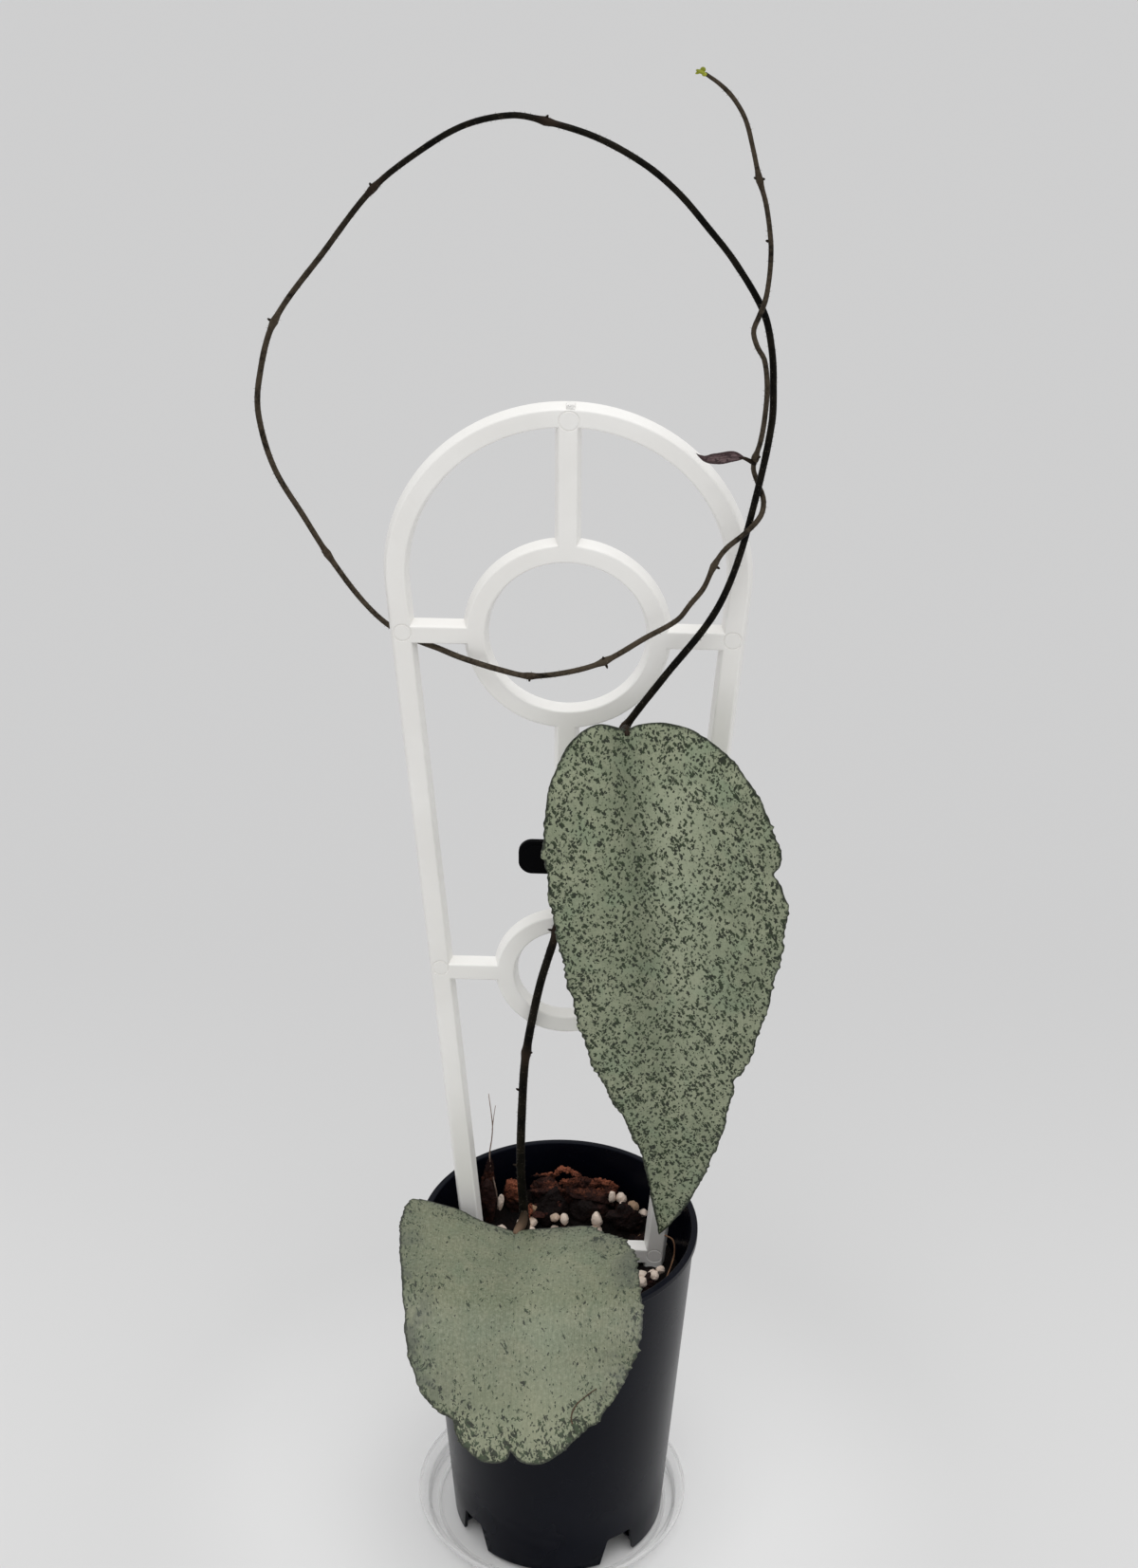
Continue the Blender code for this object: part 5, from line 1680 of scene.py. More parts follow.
@dataclass
class PottingMix:
    """The mix: a rough plug with bark, grit and fibre lying on it."""

    middle: float = 2.4
    level: float = 107.2
    back_rise: float = 0.32
    back_from: float = 16.8
    relief: float = 0.9
    radius: float = 45.2
    low_radius: float = 35.6
    low: float = 7.5
    bark: tuple[tuple[Point, Point, float], ...] = (
        ((-2, 33, 115.5), (15, 12, 14), 12), ((13, 33.5, 113), (15, 12, 12), -8),
        ((26, 30, 113), (11, 11, 14), 40), ((33, 20.5, 109), (9, 8, 8), 15),
        ((-31, 20.6, 109), (9, 7, 8), -12), ((-8, 20.8, 108.5), (12, 7, 8), 5),
        ((15, 20.8, 108.5), (12, 7, 8), -4), ((-22, -20, 108.5), (15, 12, 9), 25),
        ((1, -31, 108.5), (16, 11, 10), -12), ((21, -22, 108.5), (13, 14, 10), 35),
        ((5, -11, 107.5), (12, 10, 8), 20), ((-35, -5, 108), (9, 13, 8), 8),
        ((33, -13, 108), (10, 9, 8), -30), ((-10, -38, 108), (12, 8, 9), 10),
        ((35, -2, 108.5), (12, 11, 9), 0),
    )
    laid_grains: tuple[tuple[Point, Point, float, float], ...] = (
        ((-21.0, 31.0, 118.3), (2.1, 2.0, 6.4), 6, 0.3), ((-8.8, 30.0, 116), (3.4, 3.0, 3.2), 0, 1.0),
        ((-9.0, 26.0, 113.6), (4.0, 3.4, 3.2), 0, 0.3), ((-0.4, 26.0, 115.8), (3.4, 3.0, 2.6), 0, 0.8),
        ((3.1, 26.0, 115.2), (3.0, 2.8, 4.0), 10, 0.3), ((15.4, 27.0, 114.8), (4.6, 3.8, 5.6), -20, 0.3),
        ((20.6, 34.6, 119.5), (2.8, 2.8, 4.8), -12, 0.2), ((24.1, 34.4, 119.2), (3.8, 3.0, 4.0), 20, 0.2),
        ((32.4, 30, 116), (3.2, 3.0, 2.6), 30, 0.5), ((32.7, -1.4, 112.2), (3.8, 3.4, 3.6), 0, 0.4),
        ((36.2, 1.2, 111), (2.8, 3.0, 3.4), 8, 0.4), ((39.3, 2.4, 112), (3.0, 2.8, 2.8), 30, 0.6),
    )
    torn: tuple[tuple[tuple[Point, ...], float, float], ...] = (
        (((-10, 39.4, 124.6), (-5, 39.8, 124.8), (-0.8, 40, 125.2)), 0.35, 0.7),
        (((-1.6, 40, 124.4), (1.4, 40, 127.4), (4.9, 40, 126.6), (8.6, 39.4, 124), (12.4, 38.8, 122.4)),
         0.9, 1.3),
        (((11.6, 38.8, 121.8), (16.4, 38.6, 123.4), (20, 38, 122.8), (23, 37.4, 121.6)), 1.5, 0.6),
        (((0.6, 38.4, 122), (5, 38.2, 123.6), (9, 38, 121)), 0.8, 0.9),
        (((13, 37.4, 119.6), (17, 37.2, 120.6), (19.6, 37, 119)), 0.8, 0.6),
    )
    # Each slab: centre, size, turns, and its painted light at its foot and at its top.
    slabs: tuple[tuple[Point, Point, Point, tuple[float, float]], ...] = (
        ((-26.2, 34.8, 121.4), (6.4, 4.4, 25), (0, 4, 6), (0.5, 0.1)),
        ((-16, 36.6, 118.6), (7.5, 6.5, 13.5), (10, 0, 14), (-0.1, 0.85)),
        ((-3.4, 38, 117), (13, 8, 14), (6, 0, -8), (0.05, 0.35)),
        ((6.4, 38, 117.4), (9, 7, 17), (0, 8, 10), (0.0, 0.45)),
        ((16.6, 37.4, 116.6), (13, 8, 12), (8, -4, 0), (0.0, 0.5)),
        ((25.4, 35, 113.6), (9, 8, 9), (0, 10, 20), (0.0, 0.3)),
    )
    bits: int = 420
    grains: int = 40
    fibres: int = 60

    def height(self, x: float, y: float) -> float:
        """Gives the mix's height at a place, as the CAD has it."""
        rise = max(0.0, y - self.back_from) * self.back_rise
        return self.level + rise + self.relief * noise.noise(Vector((x * 0.16, y * 0.16, 3.7)))

    def plug(self) -> bpy.types.Object:
        """Makes the rough plug that fills the pot."""
        profile = [(self.radius * index / 26, self.level) for index in range(27)]
        profile += [(self.low_radius, self.low + 2.0), (self.low_radius - 2.0, self.low), (0.0, self.low)]
        obj = Bench.turn("mix_plug", profile, 110, self.middle)
        for vert in obj.data.vertices:
            if abs(vert.co.z - self.level * MM) < 0.1 * MM:
                x, y = vert.co.x / MM, vert.co.y / MM
                rough = noise.noise(Vector((x * 0.5, y * 0.5, 9.0))) * 1.0
                rough += noise.noise(Vector((x * 1.3, y * 1.3, 2.0))) * 0.6
                vert.co.z = (self.height(x, y) + rough - 0.4) * MM
        Bench.mark(obj, "shade", 0.35)
        Bench.smooth(obj, 40.0)
        return obj

    @staticmethod
    def kept_free(x: float, y: float, size: float) -> bool:
        """Tells whether a bit would hide a grain or a chip that is a piece of its own."""
        reach = 0.35 * size
        return any(low.x - reach < x < high.x + reach and low.y - reach < y < high.y + reach
                   for low, high in LOOSE)

    def clear_of(self, x: float, y: float, size: float) -> bool:
        """Tells whether a bit of a size at a place is in the pot and off the legs."""
        inside = math.hypot(x - self.middle, y) + size * 0.55 < self.radius
        leg = 9.0 - size * 0.4 < y < 16.5 + size * 0.4 and 27.5 < abs(x - 3.7) < 38.0
        stem = math.hypot(x + 9.8, y - 3.0) < 2.2 + size * 0.5
        return inside and not leg and not stem and not self.kept_free(x, y, size)

    def scatter(self, lumps: Lump, ground: BVHTree, count: int, sizes: tuple[float, float], seed: int,
                flat: float, round_bits: bool = False) -> list[bpy.types.Object]:
        """Lets bits fall on the mix.

        Args:
            lumps: the forms to copy.
            ground: what the bits fall on.
            count: how many are tried.
            sizes: the smallest and the largest size across.
            seed: the number that places are drawn from.
            flat: how flat the bits are.
            round_bits: uses the rounder forms.

        Returns:
            The bits.
        """
        draw = random.Random(seed)
        found = []
        for number in range(count):
            angle, reach = draw.uniform(0, math.tau), self.radius * math.sqrt(draw.random())
            x, y = self.middle + reach * math.cos(angle), reach * math.sin(angle)
            size = sizes[0] + (sizes[1] - sizes[0]) * draw.random() ** 2.2
            if not self.clear_of(x, y, size):
                continue
            hit = ground.ray_cast(Vector((x, y, 170.0)) * MM, Vector((0, 0, -1)))[0]
            form = (size, size * draw.uniform(0.45, 0.9), size * flat * draw.uniform(0.7, 1.3))
            turns = (draw.gauss(0, 16), draw.gauss(0, 16), draw.uniform(0, 360))
            centre = (x, y, hit.z / MM + form[2] * 0.22)
            shapes = lumps.pebbles if round_bits else lumps.coarse
            shape = shapes[number % len(shapes)]
            found.append(lumps.copy(shape, centre, form, turns, draw.random()))
        return found

    def ridges(self, lumps: Lump) -> bpy.types.Object:
        """Tears a fibrous strip of bark along the top of the back chips.

        Args:
            lumps: the forms that the bark under it is copied from.

        Returns:
            The strip and the bark under it.
        """
        parts = []
        for number, (points, radius, end) in enumerate(self.torn):
            parts.append(thread(f"torn_{number}", points, radius, end, 6))
            Bench.mark(parts[-1], "shade", 0.0)
            # Painted light: each strip is made lighter towards its top, where light catches it.
            paint_top_light(parts[-1], 0.3, 0.82)
        for number, (centre, size, turns, shade) in enumerate(self.slabs):
            form = lumps.broken[number % len(lumps.broken)]
            parts.append(lumps.copy(form, centre, size, turns, 0.0))
            # Painted light and shade by height on the slab.
            paint_top_light(parts[-1], *shade)
        obj = Bench.join(parts, "torn_bark")
        roughen(obj, 1, 0.85, 0.95)
        return obj

    def fibre(self, number: int, ground: BVHTree, draw: random.Random) -> bpy.types.Object | None:
        """Lays one thin root fibre over the mix.

        Args:
            number: the fibre's number.
            ground: what it lies on.
            draw: the random numbers that place it.

        Returns:
            The fibre, or nothing where there is no room.
        """
        angle, reach = draw.uniform(0, math.tau), 38.0 * math.sqrt(draw.random())
        x, y = self.middle + reach * math.cos(angle), reach * math.sin(angle)
        heading = draw.uniform(0, math.tau)
        places = []
        for index in range(9):
            if not self.clear_of(x, y, 3.0):
                break
            hit = ground.ray_cast(Vector((x, y, 170.0)) * MM, Vector((0, 0, -1)))[0]
            height = hit.z / MM + 0.15 + 0.8 * math.sin(index * 0.4) * draw.random()
            if places and abs(height - places[-1][2]) > 1.6:
                break
            places.append((x, y, height, 0.17 - 0.010 * index))
            heading += draw.gauss(0, 0.4)
            x, y = x + 1.5 * math.cos(heading), y + 1.5 * math.sin(heading)
        if len(places) < 4:
            return None
        return Bench.tube(f"fibre_{number}", places, 2)

    def build(self, lumps: Lump) -> None:
        """Fills the pot and scatters what lies on the mix.

        Args:
            lumps: the forms to copy.
        """
        plug = self.plug()
        chunks = []
        for number, (centre, size, turn) in enumerate(self.bark):
            turns = (7.0 * (number % 3), -6.0 * (number % 4), turn)
            form = lumps.broken[number % len(lumps.broken)]
            chunks.append(lumps.copy(form, centre, size, turns, 0.2 + 0.09 * (number % 6)))
        chunks_piece = Bench.join(chunks, "bark_chunks")
        roughen(chunks_piece, 2, 0.75, 0.42)
        ground = tree_of([plug, chunks_piece])
        bits = self.scatter(lumps, ground, self.bits, (1.8, 8.0), 5, 0.45)
        bits_piece = Bench.join(bits, "bark_bits")
        Bench.smooth(bits_piece, 30.0)
        ground = tree_of([plug, chunks_piece, bits_piece])
        grains = self.scatter(lumps, ground, self.grains, (1.4, 4.0), 17, 0.85, True)
        for number, (centre, size, turn, shade) in enumerate(self.laid_grains):
            form = lumps.pebbles[number % len(lumps.pebbles)]
            grains.append(lumps.copy(form, centre, size, (0.0, turn, 20.0 * number), shade))
        grains_piece = Bench.join(grains, "perlite_grains")
        roughen(grains_piece, 0, 0.24, 0.8)
        draw = random.Random(23)
        fibres = [self.fibre(number, ground, draw) for number in range(self.fibres)]
        fibres_piece = Bench.join([obj for obj in fibres if obj is not None], "root_fibres")
        Bench.mark(fibres_piece, "knot", 0.2)
        Bench.smooth(fibres_piece, 60.0)
        Bench.dress(plug, Finish.SOIL, "dark_bark", "potting_mix")
        Bench.dress(chunks_piece, Finish.BARK, "dark_bark")
        Bench.dress(bits_piece, Finish.BARK, "dark_bark")
        Bench.dress(grains_piece, Finish.PERLITE, "perlite")
        Bench.dress(self.ridges(lumps), Finish.RED_BARK, "red_bark")
        Bench.dress(fibres_piece, Finish.DRY, "dry_root")


def tree_of(objects: Sequence[bpy.types.Object]) -> BVHTree:
    """Builds a tree that rays can be cast at, of several objects together.

    Args:
        objects: objects whose places are in their meshes.

    Returns:
        The tree.
    """
    bm = bmesh.new()
    for obj in objects:
        bm.from_mesh(obj.data)
    tree = BVHTree.FromBMesh(bm)
    bm.free()
    return tree


def roughen(obj: bpy.types.Object, levels: int, depth: float, scale: float) -> None:
    """Subdivides a broken surface and pushes it in and out.

    Args:
        obj: the piece.
        levels: how often it is subdivided.
        depth: how far the surface moves, in millimetres.
        scale: how fine the relief is, in waves per millimetre.
    """
    if levels:
        finer = obj.modifiers.new("Finer", "SUBSURF")
        finer.subdivision_type = "SIMPLE"
        finer.levels = levels
        finer.render_levels = levels
        Bench.settle(obj)
    normals = [vert.normal.copy() for vert in obj.data.vertices]
    for vert, normal in zip(obj.data.vertices, normals):
        place = vert.co / MM * scale
        amount = noise.noise(place) + 0.55 * noise.noise(place * 2.7) + 0.3 * noise.noise(place * 6.1)
        vert.co += normal * amount * depth * MM
    Bench.smooth(obj, 28.0)


def paint_top_light(obj: bpy.types.Object, foot: float, top: float) -> None:
    """Paints light and shade onto a piece of bark by height, from a foot shade to a top shade, standing in
    for light catching its top.

    Args:
        obj: the piece.
        foot: the shade at its foot.
        top: the shade at its top.
    """
    heights = [vert.co.z for vert in obj.data.vertices]
    low, span = min(heights), max(heights) - min(heights)
    shades = [foot + (top - foot) * ((height - low) / span) ** 1.5 for height in heights]
    obj.data.attributes["shade"].data.foreach_set("value", shades)


def thread(name: str, points: Sequence[Point], radius: float, end: float, half_sides: int = 4
           ) -> bpy.types.Object:
    """Makes a thin crooked root or a torn strip that changes width.

    Args:
        name: its name.
        points: its places.
        radius: its radius at the first.
        end: its radius at the last.
        half_sides: half the number of faces round it.

    Returns:
        The root.
    """
    found = smooth_path(points, 0.8)[0]
    places = []
    for index, (_, place) in enumerate(found):
        share = index / (len(found) - 1)
        uneven = 1.0 + 0.25 * noise.noise(Vector((index * 0.33, 5.0, 1.0)))
        places.append((*place, (radius + (end - radius) * share) * uneven))
    return Bench.tube(name, places, half_sides)


@dataclass
class LoosePieces:
    """The red chips and the larger perlite grains, each in its CAD node's place."""

    chips: int = 5
    grains: int = 12
    stained: tuple[int, ...] = (5, 6)
    chip_turns: tuple[Point, ...] = ((8, -3, 10), (10, 4, -8), (0, 3, 4), (-6, 10, 0), (10, 13, -6))
    chip_sizes: tuple[Point, ...] = ((6.5, 8, 23), (8, 8, 16), (14, 3.2, 2.8), (3.2, 2.4, 16), (21, 8, 5.4))
    # Each chip's painted light at its foot and at its top.
    chip_painted_light: tuple[tuple[float, float], ...] = ((0.35, 0.1), (0.0, 0.7), (0.1, 0.5), (0.9, 1.3),
                                                    (-0.1, 0.45))

    def build(self, lumps: Lump) -> None:
        """Models each piece at its node's place.

        Args:
            lumps: the forms to copy.
        """
        for index in range(self.chips):
            node = f"bark_chip_{index + 1}"
            low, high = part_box(node)
            size = tuple(0.94 * length for length in self.chip_sizes[index])
            form = lumps.broken[index + 2]
            obj = lumps.copy(form, tuple((low + high) / 2 / MM), size, self.chip_turns[index], 0.0)
            obj.name = f"red_bark_{index + 1}"
            roughen(obj, 2, 0.6, 0.5)
            # Painted light and shade by height on the chip.
            paint_top_light(obj, *self.chip_painted_light[index])
            Bench.dress(obj, Finish.RED_BARK, "red_bark", node)
        for index in range(self.grains):
            node = f"perlite_{index + 1:02d}"
            low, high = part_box(node)
            size = tuple((high - low) / MM)
            form = lumps.pebbles[index % len(lumps.pebbles)]
            stain = 0.95 if index in self.stained else 0.4
            obj = lumps.copy(form, tuple((low + high) / 2 / MM), size, (0, 0, 0), stain)
            obj.name = f"perlite_grain_{index + 1:02d}"
            roughen(obj, 1, 0.24, 0.8)
            Bench.dress(obj, Finish.PERLITE, "perlite", node)


@dataclass
class DryRoots:
    """The forked dry twig at the back and the rootlet at the right wall."""

    twig: tuple[Point, ...] = ((-22.4, 34.5, 105), (-22.6, 34.6, 118), (-24.6, 34.9, 130),
                               (-25.2, 34.9, 137), (-24.2, 34.7, 146), (-24, 34.3, 152),
                               (-25.2, 33.6, 166))
    fork: tuple[Point, ...] = ((-24.1, 34.4, 149), (-23.6, 34.4, 154), (-22.8, 34.6, 160))
    rootlet: tuple[Point, ...] = ((40.6, 3.4, 127.4), (43.6, 2.4, 126), (44.2, -0.6, 122),
                                  (42.4, -4.6, 117), (40, -8.2, 112), (39.5, -8.8, 108),
                                  (39.5, -8.8, 101))

    def build(self) -> None:
        """Makes and dresses the roots."""
        parts = [thread("dry_twig_main", self.twig, 0.38, 0.14),
                 thread("dry_twig_fork", self.fork, 0.18, 0.10)]
        obj = Bench.join(parts, "forked_twig")
        root = thread("curled_rootlet", self.rootlet, 0.27, 0.31)
        for piece, finish, node in ((obj, Finish.TWIG, "dry_twig"), (root, Finish.DRY, "rootlet")):
            Bench.mark(piece, "knot", 0.0)
            Bench.smooth(piece, 60.0)
            Bench.dress(piece, finish, "dry_root", node)


VINE = Vine(
    route=(
        (-9.8, 3, 78, 1.6), (-9.8, 2.9, 105, 1.6), (-10.2, 2.9, 131, 1.6), (-11.6, 3.2, 157, 1.55),
        (-10.8, 4, 189, 1.5), (-9.6, 5, 205, 1.5), (-5, 6, 232, 1.45), (0.8, 6.2, 255, 1.4),
        (3.2, 6.3, 271, 1.35), (4.2, 6.3, 286, 1.3), (8, 5.5, 303, 1.3), (15, 4, 320, 1.3),
        (23, 2.6, 336, 1.25), (35, 3, 354, 1.2), (50, 3.2, 376, 1.15), (57, 3, 394, 1.1),
        (63, 2, 422, 1.1), (66, 0, 443, 1.1), (66, -1, 454, 1.1), (65, -2, 467, 1.05),
        (62, -2, 479, 1.05), (53, -2, 494, 1.0), (45, -2, 504, 1.0), (36, -1, 514, 1.0),
        (26, 0, 522, 1.0), (12, 2, 529, 1.0), (-3, 4, 533, 0.95), (-13, 6, 534, 0.95),
        (-27, 9, 530, 0.95), (-41, 12, 521, 0.95), (-55, 15, 509, 0.95), (-71, 19, 488, 0.95),
        (-88, 23, 464, 0.95), (-94, 25, 444, 0.95), (-95, 27, 431, 0.95), (-91, 28, 413, 0.95),
        (-82, 28, 396, 0.95), (-75, 27, 384, 0.95), (-65, 25, 370, 0.9), (-56, 22, 362, 0.9),
        (-46, 18.2, 358.2, 0.98), (-38, 12.5, 358, 0.98), (-30, 7.4, 357.3, 0.98), (-17, 5, 354.4, 0.96),
        (-8, 4.2, 353, 0.9), (5, 4, 355, 0.9), (16, 4, 359, 0.9), (29, 3.4, 368, 0.9),
        (39, 2.6, 375, 0.85), (43, 1.8, 381, 0.85), (47, 1.2, 387, 0.85), (50, 0.6, 395, 0.85),
        (53.4, 0, 401, 0.85), (59.6, -0.2, 407, 0.85), (63.9, 1.2, 412, 0.85), (64.7, 4, 416, 0.85),
        (63, 5.4, 420.5, 0.8), (61.2, 4.4, 426, 0.8), (61.5, 1.6, 431, 0.8), (62.8, -2, 438, 0.8),
        (63.7, -3.2, 446, 0.8), (64, -4, 456, 0.8), (62.8, -4.8, 465, 0.8), (60.6, -5.2, 469, 0.8),
        (59.2, -5.4, 474, 0.8), (60.6, -5.4, 478.5, 0.8), (62.2, -5, 483, 0.8), (63, -4.6, 488, 0.75),
        (63.4, -4, 494, 0.75), (63.2, -4, 501, 0.75), (61.4, -4, 512, 0.75), (59.2, -3, 519, 0.75),
        (57, -3, 528, 0.7), (54.6, -2, 536, 0.7), (51, -2, 542, 0.7), (47, -2, 546, 0.65),
        (42.6, -2, 549, 0.55),
    ),
    nodes={2: 0.5, 5: 0.4, 7: 0.35, 12: 0.55, 26: 0.45, 30: 0.4, 32: 0.45, 37: 0.4, 44: 0.35,
           46: 0.5, 51: 0.35, 58: 0.55, 71: 0.4},
    stubs=(
        (7, (1, -0.3, 0.6), 2.2), (7, (-1, -0.3, 0.2), 1.8), (3, (-1, -0.4, 0.3), 1.6),
        (4, (-1, -0.2, 0.5), 1.3), (5, (1, -0.4, 0.3), 1.0), (26, (0.3, -0.2, 1), 1.2),
        (30, (-0.7, 0, 1), 1.0), (32, (-1, 0, 0.4), 1.3), (37, (-1, 0, 0.3), 1.0),
        (44, (0, -0.2, -1), 1.0), (46, (0.6, -0.2, -1), 1.7), (46, (-0.3, -0.4, 1), 1.4),
        (46, (1, -0.2, 0.4), 1.8), (51, (1, 0, -0.4), 1.3), (58, (1, -0.3, 0.5), 1.0),
        (71, (-1, -0.2, 0.3), 1.1), (71, (1, 0, 0.2), 0.9), (69, (-1, 0, 0.1), 0.8),
        (12, (1, 0.2, -0.6), 1.2),
    ),
)
UPPER = Leaf(
    node="leaf_upper", finish=Finish.UPPER_LEAF, slot="leaf_green",
    midrib=((23.9, -7, 340), (27, -14, 318), (32, -20, 280), (35, -22, 240), (37.2, -21, 190),
            (38.5, -16, 143.8)),
    left=((0, 0), (9, -3.2), (16.5, -0.2), (21.7, 5.9), (25.9, 13.3), (28.3, 20.8), (30.6, 31.9),
          (31, 44.1), (30.7, 57.3), (29.2, 73.8), (26, 96.9), (21.3, 119.1), (14.8, 136.3),
          (9, 150.6), (5, 164), (2.7, 180), (0, 199.5)),
    right=((0, 0), (3.7, -1.4), (12.9, -1.5), (23.6, 3.3), (31.6, 11.3), (38.4, 21.1), (42, 30.6),
           (44.8, 41.6), (44.1, 46.4), (42.2, 49.2), (44.2, 53.4), (45.2, 61.7), (41.6, 79.7),
           (37.9, 94.3), (32.9, 111.1), (29.3, 121.8), (25.9, 126.2), (25.6, 131.4), (22.2, 147.4),
           (17.3, 163.8), (10.1, 183.4), (5, 192.4), (0, 199.5)),
    stalk=((23.1, -0.1, 336.8, 1.4), (23.4, -2.4, 338.2, 1.4), (23.7, -4.6, 338.9, 1.35),
           (23.9, -6.7, 339.2, 1.2), (24, -7.7, 338.4, 0.8)),
    fold=(0.23, 260.0, 0.05), wave=(0.3, 13), rows=240, tooth=0.8,
)
LOWER = Leaf(
    node="leaf_lower", finish=Finish.LOWER_LEAF, slot="leaf_pale",
    midrib=((-13.4, -2.6, 131.8), (-13.6, -25, 134.3), (-13.2, -47.5, 135.4), (-12, -67, 122.5),
            (-10.2, -84, 103.9)),
    left=((0, 0), (12.6, -2.4), (20.9, -6.3), (28.5, -6.5), (37.3, -4.6), (40.2, 3.8), (39.4, 20.6),
          (35.6, 47.1), (34, 61.6), (31.2, 70), (28.1, 76.2), (23, 81.3), (18.9, 83.2),
          (18.5, 86.6), (16.7, 91.4), (10.4, 97), (5, 98.4), (1.4, 97.4), (0, 94.6)),
    right=((0, 0), (5, -0.9), (12.6, 0.5), (26, 2.9), (33.8, 9.3), (40, 14.9), (44, 24.1),
           (44.7, 34.3), (46.4, 47.7), (44.9, 61.1), (40, 72.2), (34.9, 79.5), (30.1, 86.2),
           (26.4, 88), (19.8, 93.8), (13.2, 98.2), (8.2, 99.3), (3.1, 98), (0, 94.6)),
    stalk=((-10.4, 2.3, 138, 1.0), (-10.5, 1.7, 135, 1.5), (-11.1, 0.9, 132.6, 1.8),
           (-12.1, -0.6, 131.4, 1.7), (-13, -2.9, 131.4, 1.25), (-13.3, -4.6, 131.9, 0.7)),
    fold=(0.22, 70.0, 0.02), wave=(0.12, 10), rows=200, columns=18, tooth=1.0, seed=7.0,
    stalk_finish=Finish.STALK,
    rough=((-1, 0.19, 0.05, 1.3), (-1, 0.5, 0.2, -0.8), (1, 0.24, 0.06, 1.0)),
    litter=((18.6, -71.2, 120.5), (16.3, -72.1, 119.1), (14.1, -73.3, 117.8), (12.1, -74.7, 116.6),
            (11, -76, 115.3), (10.4, -77.1, 114.1), (10.3, -78.4, 112.3), (10.8, -79.1, 111.4)),
)
YOUNG = Leaf(
    node="leaf_young", finish=Finish.YOUNG_LEAF, slot="leaf_purple",
    midrib=((58.4, 0.3, 431.6), (54, -0.2, 431.9), (50, -0.6, 431.4), (46.3, -1, 431.6),
            (44.2, -1, 432.6), (43, -1.1, 433.6)),
    left=((0, 0), (1, 2), (1.6, 4), (1.8, 7.5), (1.5, 10.5), (0.8, 13), (0, 15.7)),
    right=((0, 0), (1.2, 1.8), (1.8, 3.5), (1.9, 7), (1.6, 10.5), (0.6, 13.4), (0, 15.7)),
    stalk=((61.4, 1.3, 429.2, 0.7), (60.4, 0.9, 430, 0.7), (59.2, 0.6, 430.8, 0.64),
           (57.8, 0.3, 431.5, 0.5), (56.4, 0.1, 431.8, 0.35)),
    across=(0, 0, 1), back_finish=Finish.YOUNG_LEAF, fold=(0.25, 40.0, 0.05), wave=(0.05, 3), rows=44,
    columns=8, thickness=0.6, ripple=0.12, tooth=0.06,
)


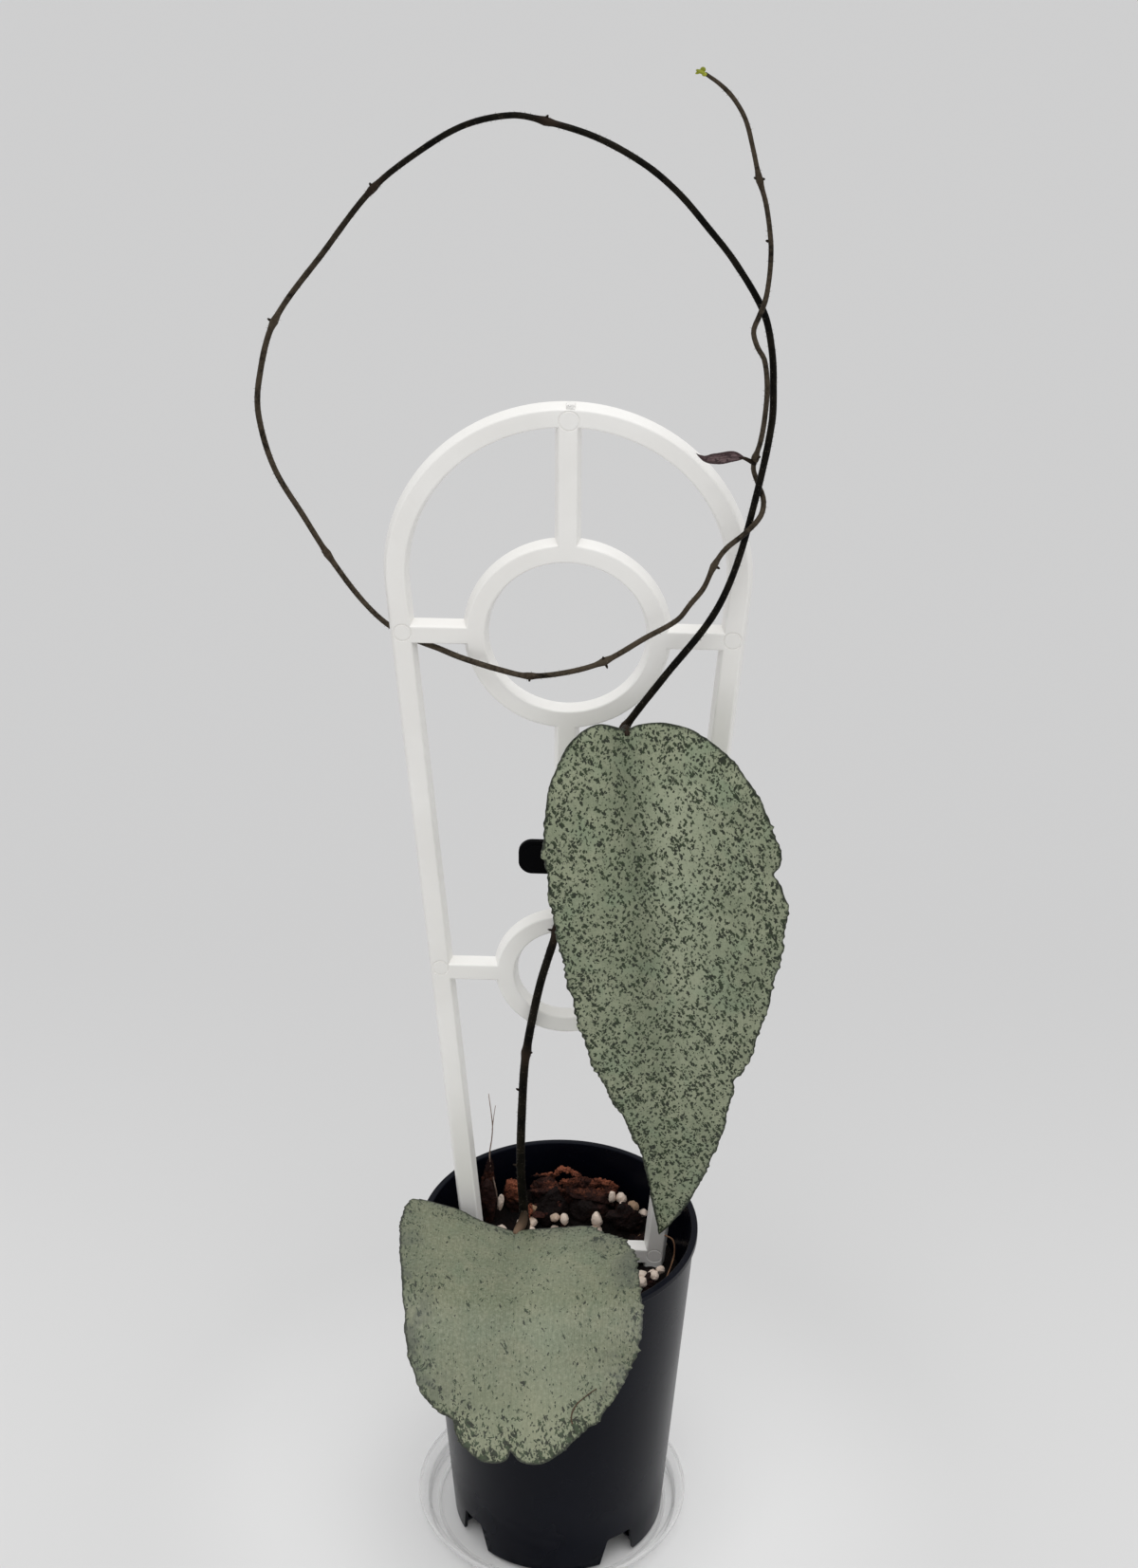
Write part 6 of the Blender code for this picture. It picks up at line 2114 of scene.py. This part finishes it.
@dataclass
class Studio:
    """The floor, the soft lights and the camera at the photograph's angle."""

    focal: float = 2802.4
    frame_height: float = 1653.0
    pitch: float = 0.51109
    roll: float = 0.00561
    yaw: float = -0.04155
    eye: Point = (36.6, -758.7, 741.7)
    floor_size: float = 24.0
    room_height: tuple[float, float] = (0.58, 0.80)
    room_depth: tuple[float, float] = (0.88, 1.0)

    def camera(self) -> None:
        """Sets the camera where the photograph was taken from."""
        data = bpy.data.cameras.new("photo_view")
        data.sensor_width = 36.0
        data.lens = self.focal * data.sensor_width / self.frame_height
        obj = bpy.data.objects.new("photo_view", data)
        bpy.context.collection.objects.link(obj)
        turn = (Matrix.Rotation(-self.yaw, 4, "Z") @ Matrix.Rotation(math.pi / 2 - self.pitch, 4, "X")
                @ Matrix.Rotation(self.roll, 4, "Z"))
        obj.matrix_world = Matrix.Translation(Vector(self.eye) * MM) @ turn
        bpy.context.scene.camera = obj

    def floor(self) -> None:
        """Lays the pale floor."""
        Bench.clear()
        bpy.ops.mesh.primitive_plane_add(size=self.floor_size, location=(0, 0, -0.2 * MM))
        obj = bpy.context.object
        obj.name = "pale_floor"
        Bench.settle(obj)
        obj.data.materials.append(Finish.FLOOR.material())

    @staticmethod
    def lamp(name: str, way: Point, spread: float, strength: float) -> None:
        """Adds one soft, distant lamp.

        Args:
            name: the lamp's name.
            way: the direction that it stands in, seen from the plant.
            spread: its width in the sky, in degrees.
            strength: its strength.
        """
        data = bpy.data.lights.new(name, "SUN")
        data.angle = math.radians(spread)
        data.energy = strength
        obj = bpy.data.objects.new(name, data)
        bpy.context.collection.objects.link(obj)
        obj.rotation_euler = Vector(way).to_track_quat("Z", "Y").to_euler()

    def room(self) -> None:
        """Surrounds the stage with soft light, brighter overhead and dimmer in front."""
        world = bpy.data.worlds.new("soft_room")
        world.use_nodes = True
        tree = world.node_tree
        place = tree.nodes.new("ShaderNodeTexCoord")
        parts = tree.nodes.new("ShaderNodeSeparateXYZ")
        tree.links.new(place.outputs["Generated"], parts.inputs[0])
        total = None
        for axis, (low, high, first, last) in (("Z", (-0.2, 0.9, *self.room_height)),
                                               ("Y", (-1.0, 0.1, *self.room_depth))):
            ramp = tree.nodes.new("ShaderNodeMapRange")
            for place_in, number in enumerate((low, high, first, last), 1):
                ramp.inputs[place_in].default_value = number
            tree.links.new(parts.outputs[axis], ramp.inputs[0])
            if total is None:
                total = ramp
                continue
            times = tree.nodes.new("ShaderNodeMath")
            times.operation = "MULTIPLY"
            tree.links.new(total.outputs[0], times.inputs[0])
            tree.links.new(ramp.outputs[0], times.inputs[1])
            total = times
        background = tree.nodes["Background"]
        background.inputs["Color"].default_value = (1.0, 1.0, 1.0, 1.0)
        tree.links.new(total.outputs[0], background.inputs["Strength"])
        bpy.context.scene.world = world

    def build(self) -> None:
        """Sets the whole stage."""
        self.floor()
        self.lamp("overhead_lamp", (0.05, -0.35, 1.0), 45.0, 1.25)
        self.room()
        bpy.context.scene.view_settings.view_transform = "Standard"
        self.camera()


def main() -> None:
    """Builds the stage and every piece of the plant, in order."""
    logging.basicConfig(level=logging.INFO, format="%(message)s")
    Studio().build()
    steps: tuple[Callable[[], None], ...] = (
        Saucer().build, NurseryPot().build, Trellis().build, Clip().build, VINE.build,
        UPPER.build, LOWER.build, YOUNG.build, DryRoots().build,
    )
    for build in steps:
        build()
    lumps = Lump()
    PottingMix().build(lumps)
    LoosePieces().build(lumps)
    lumps.discard()


if __name__ == "__main__":
    main()
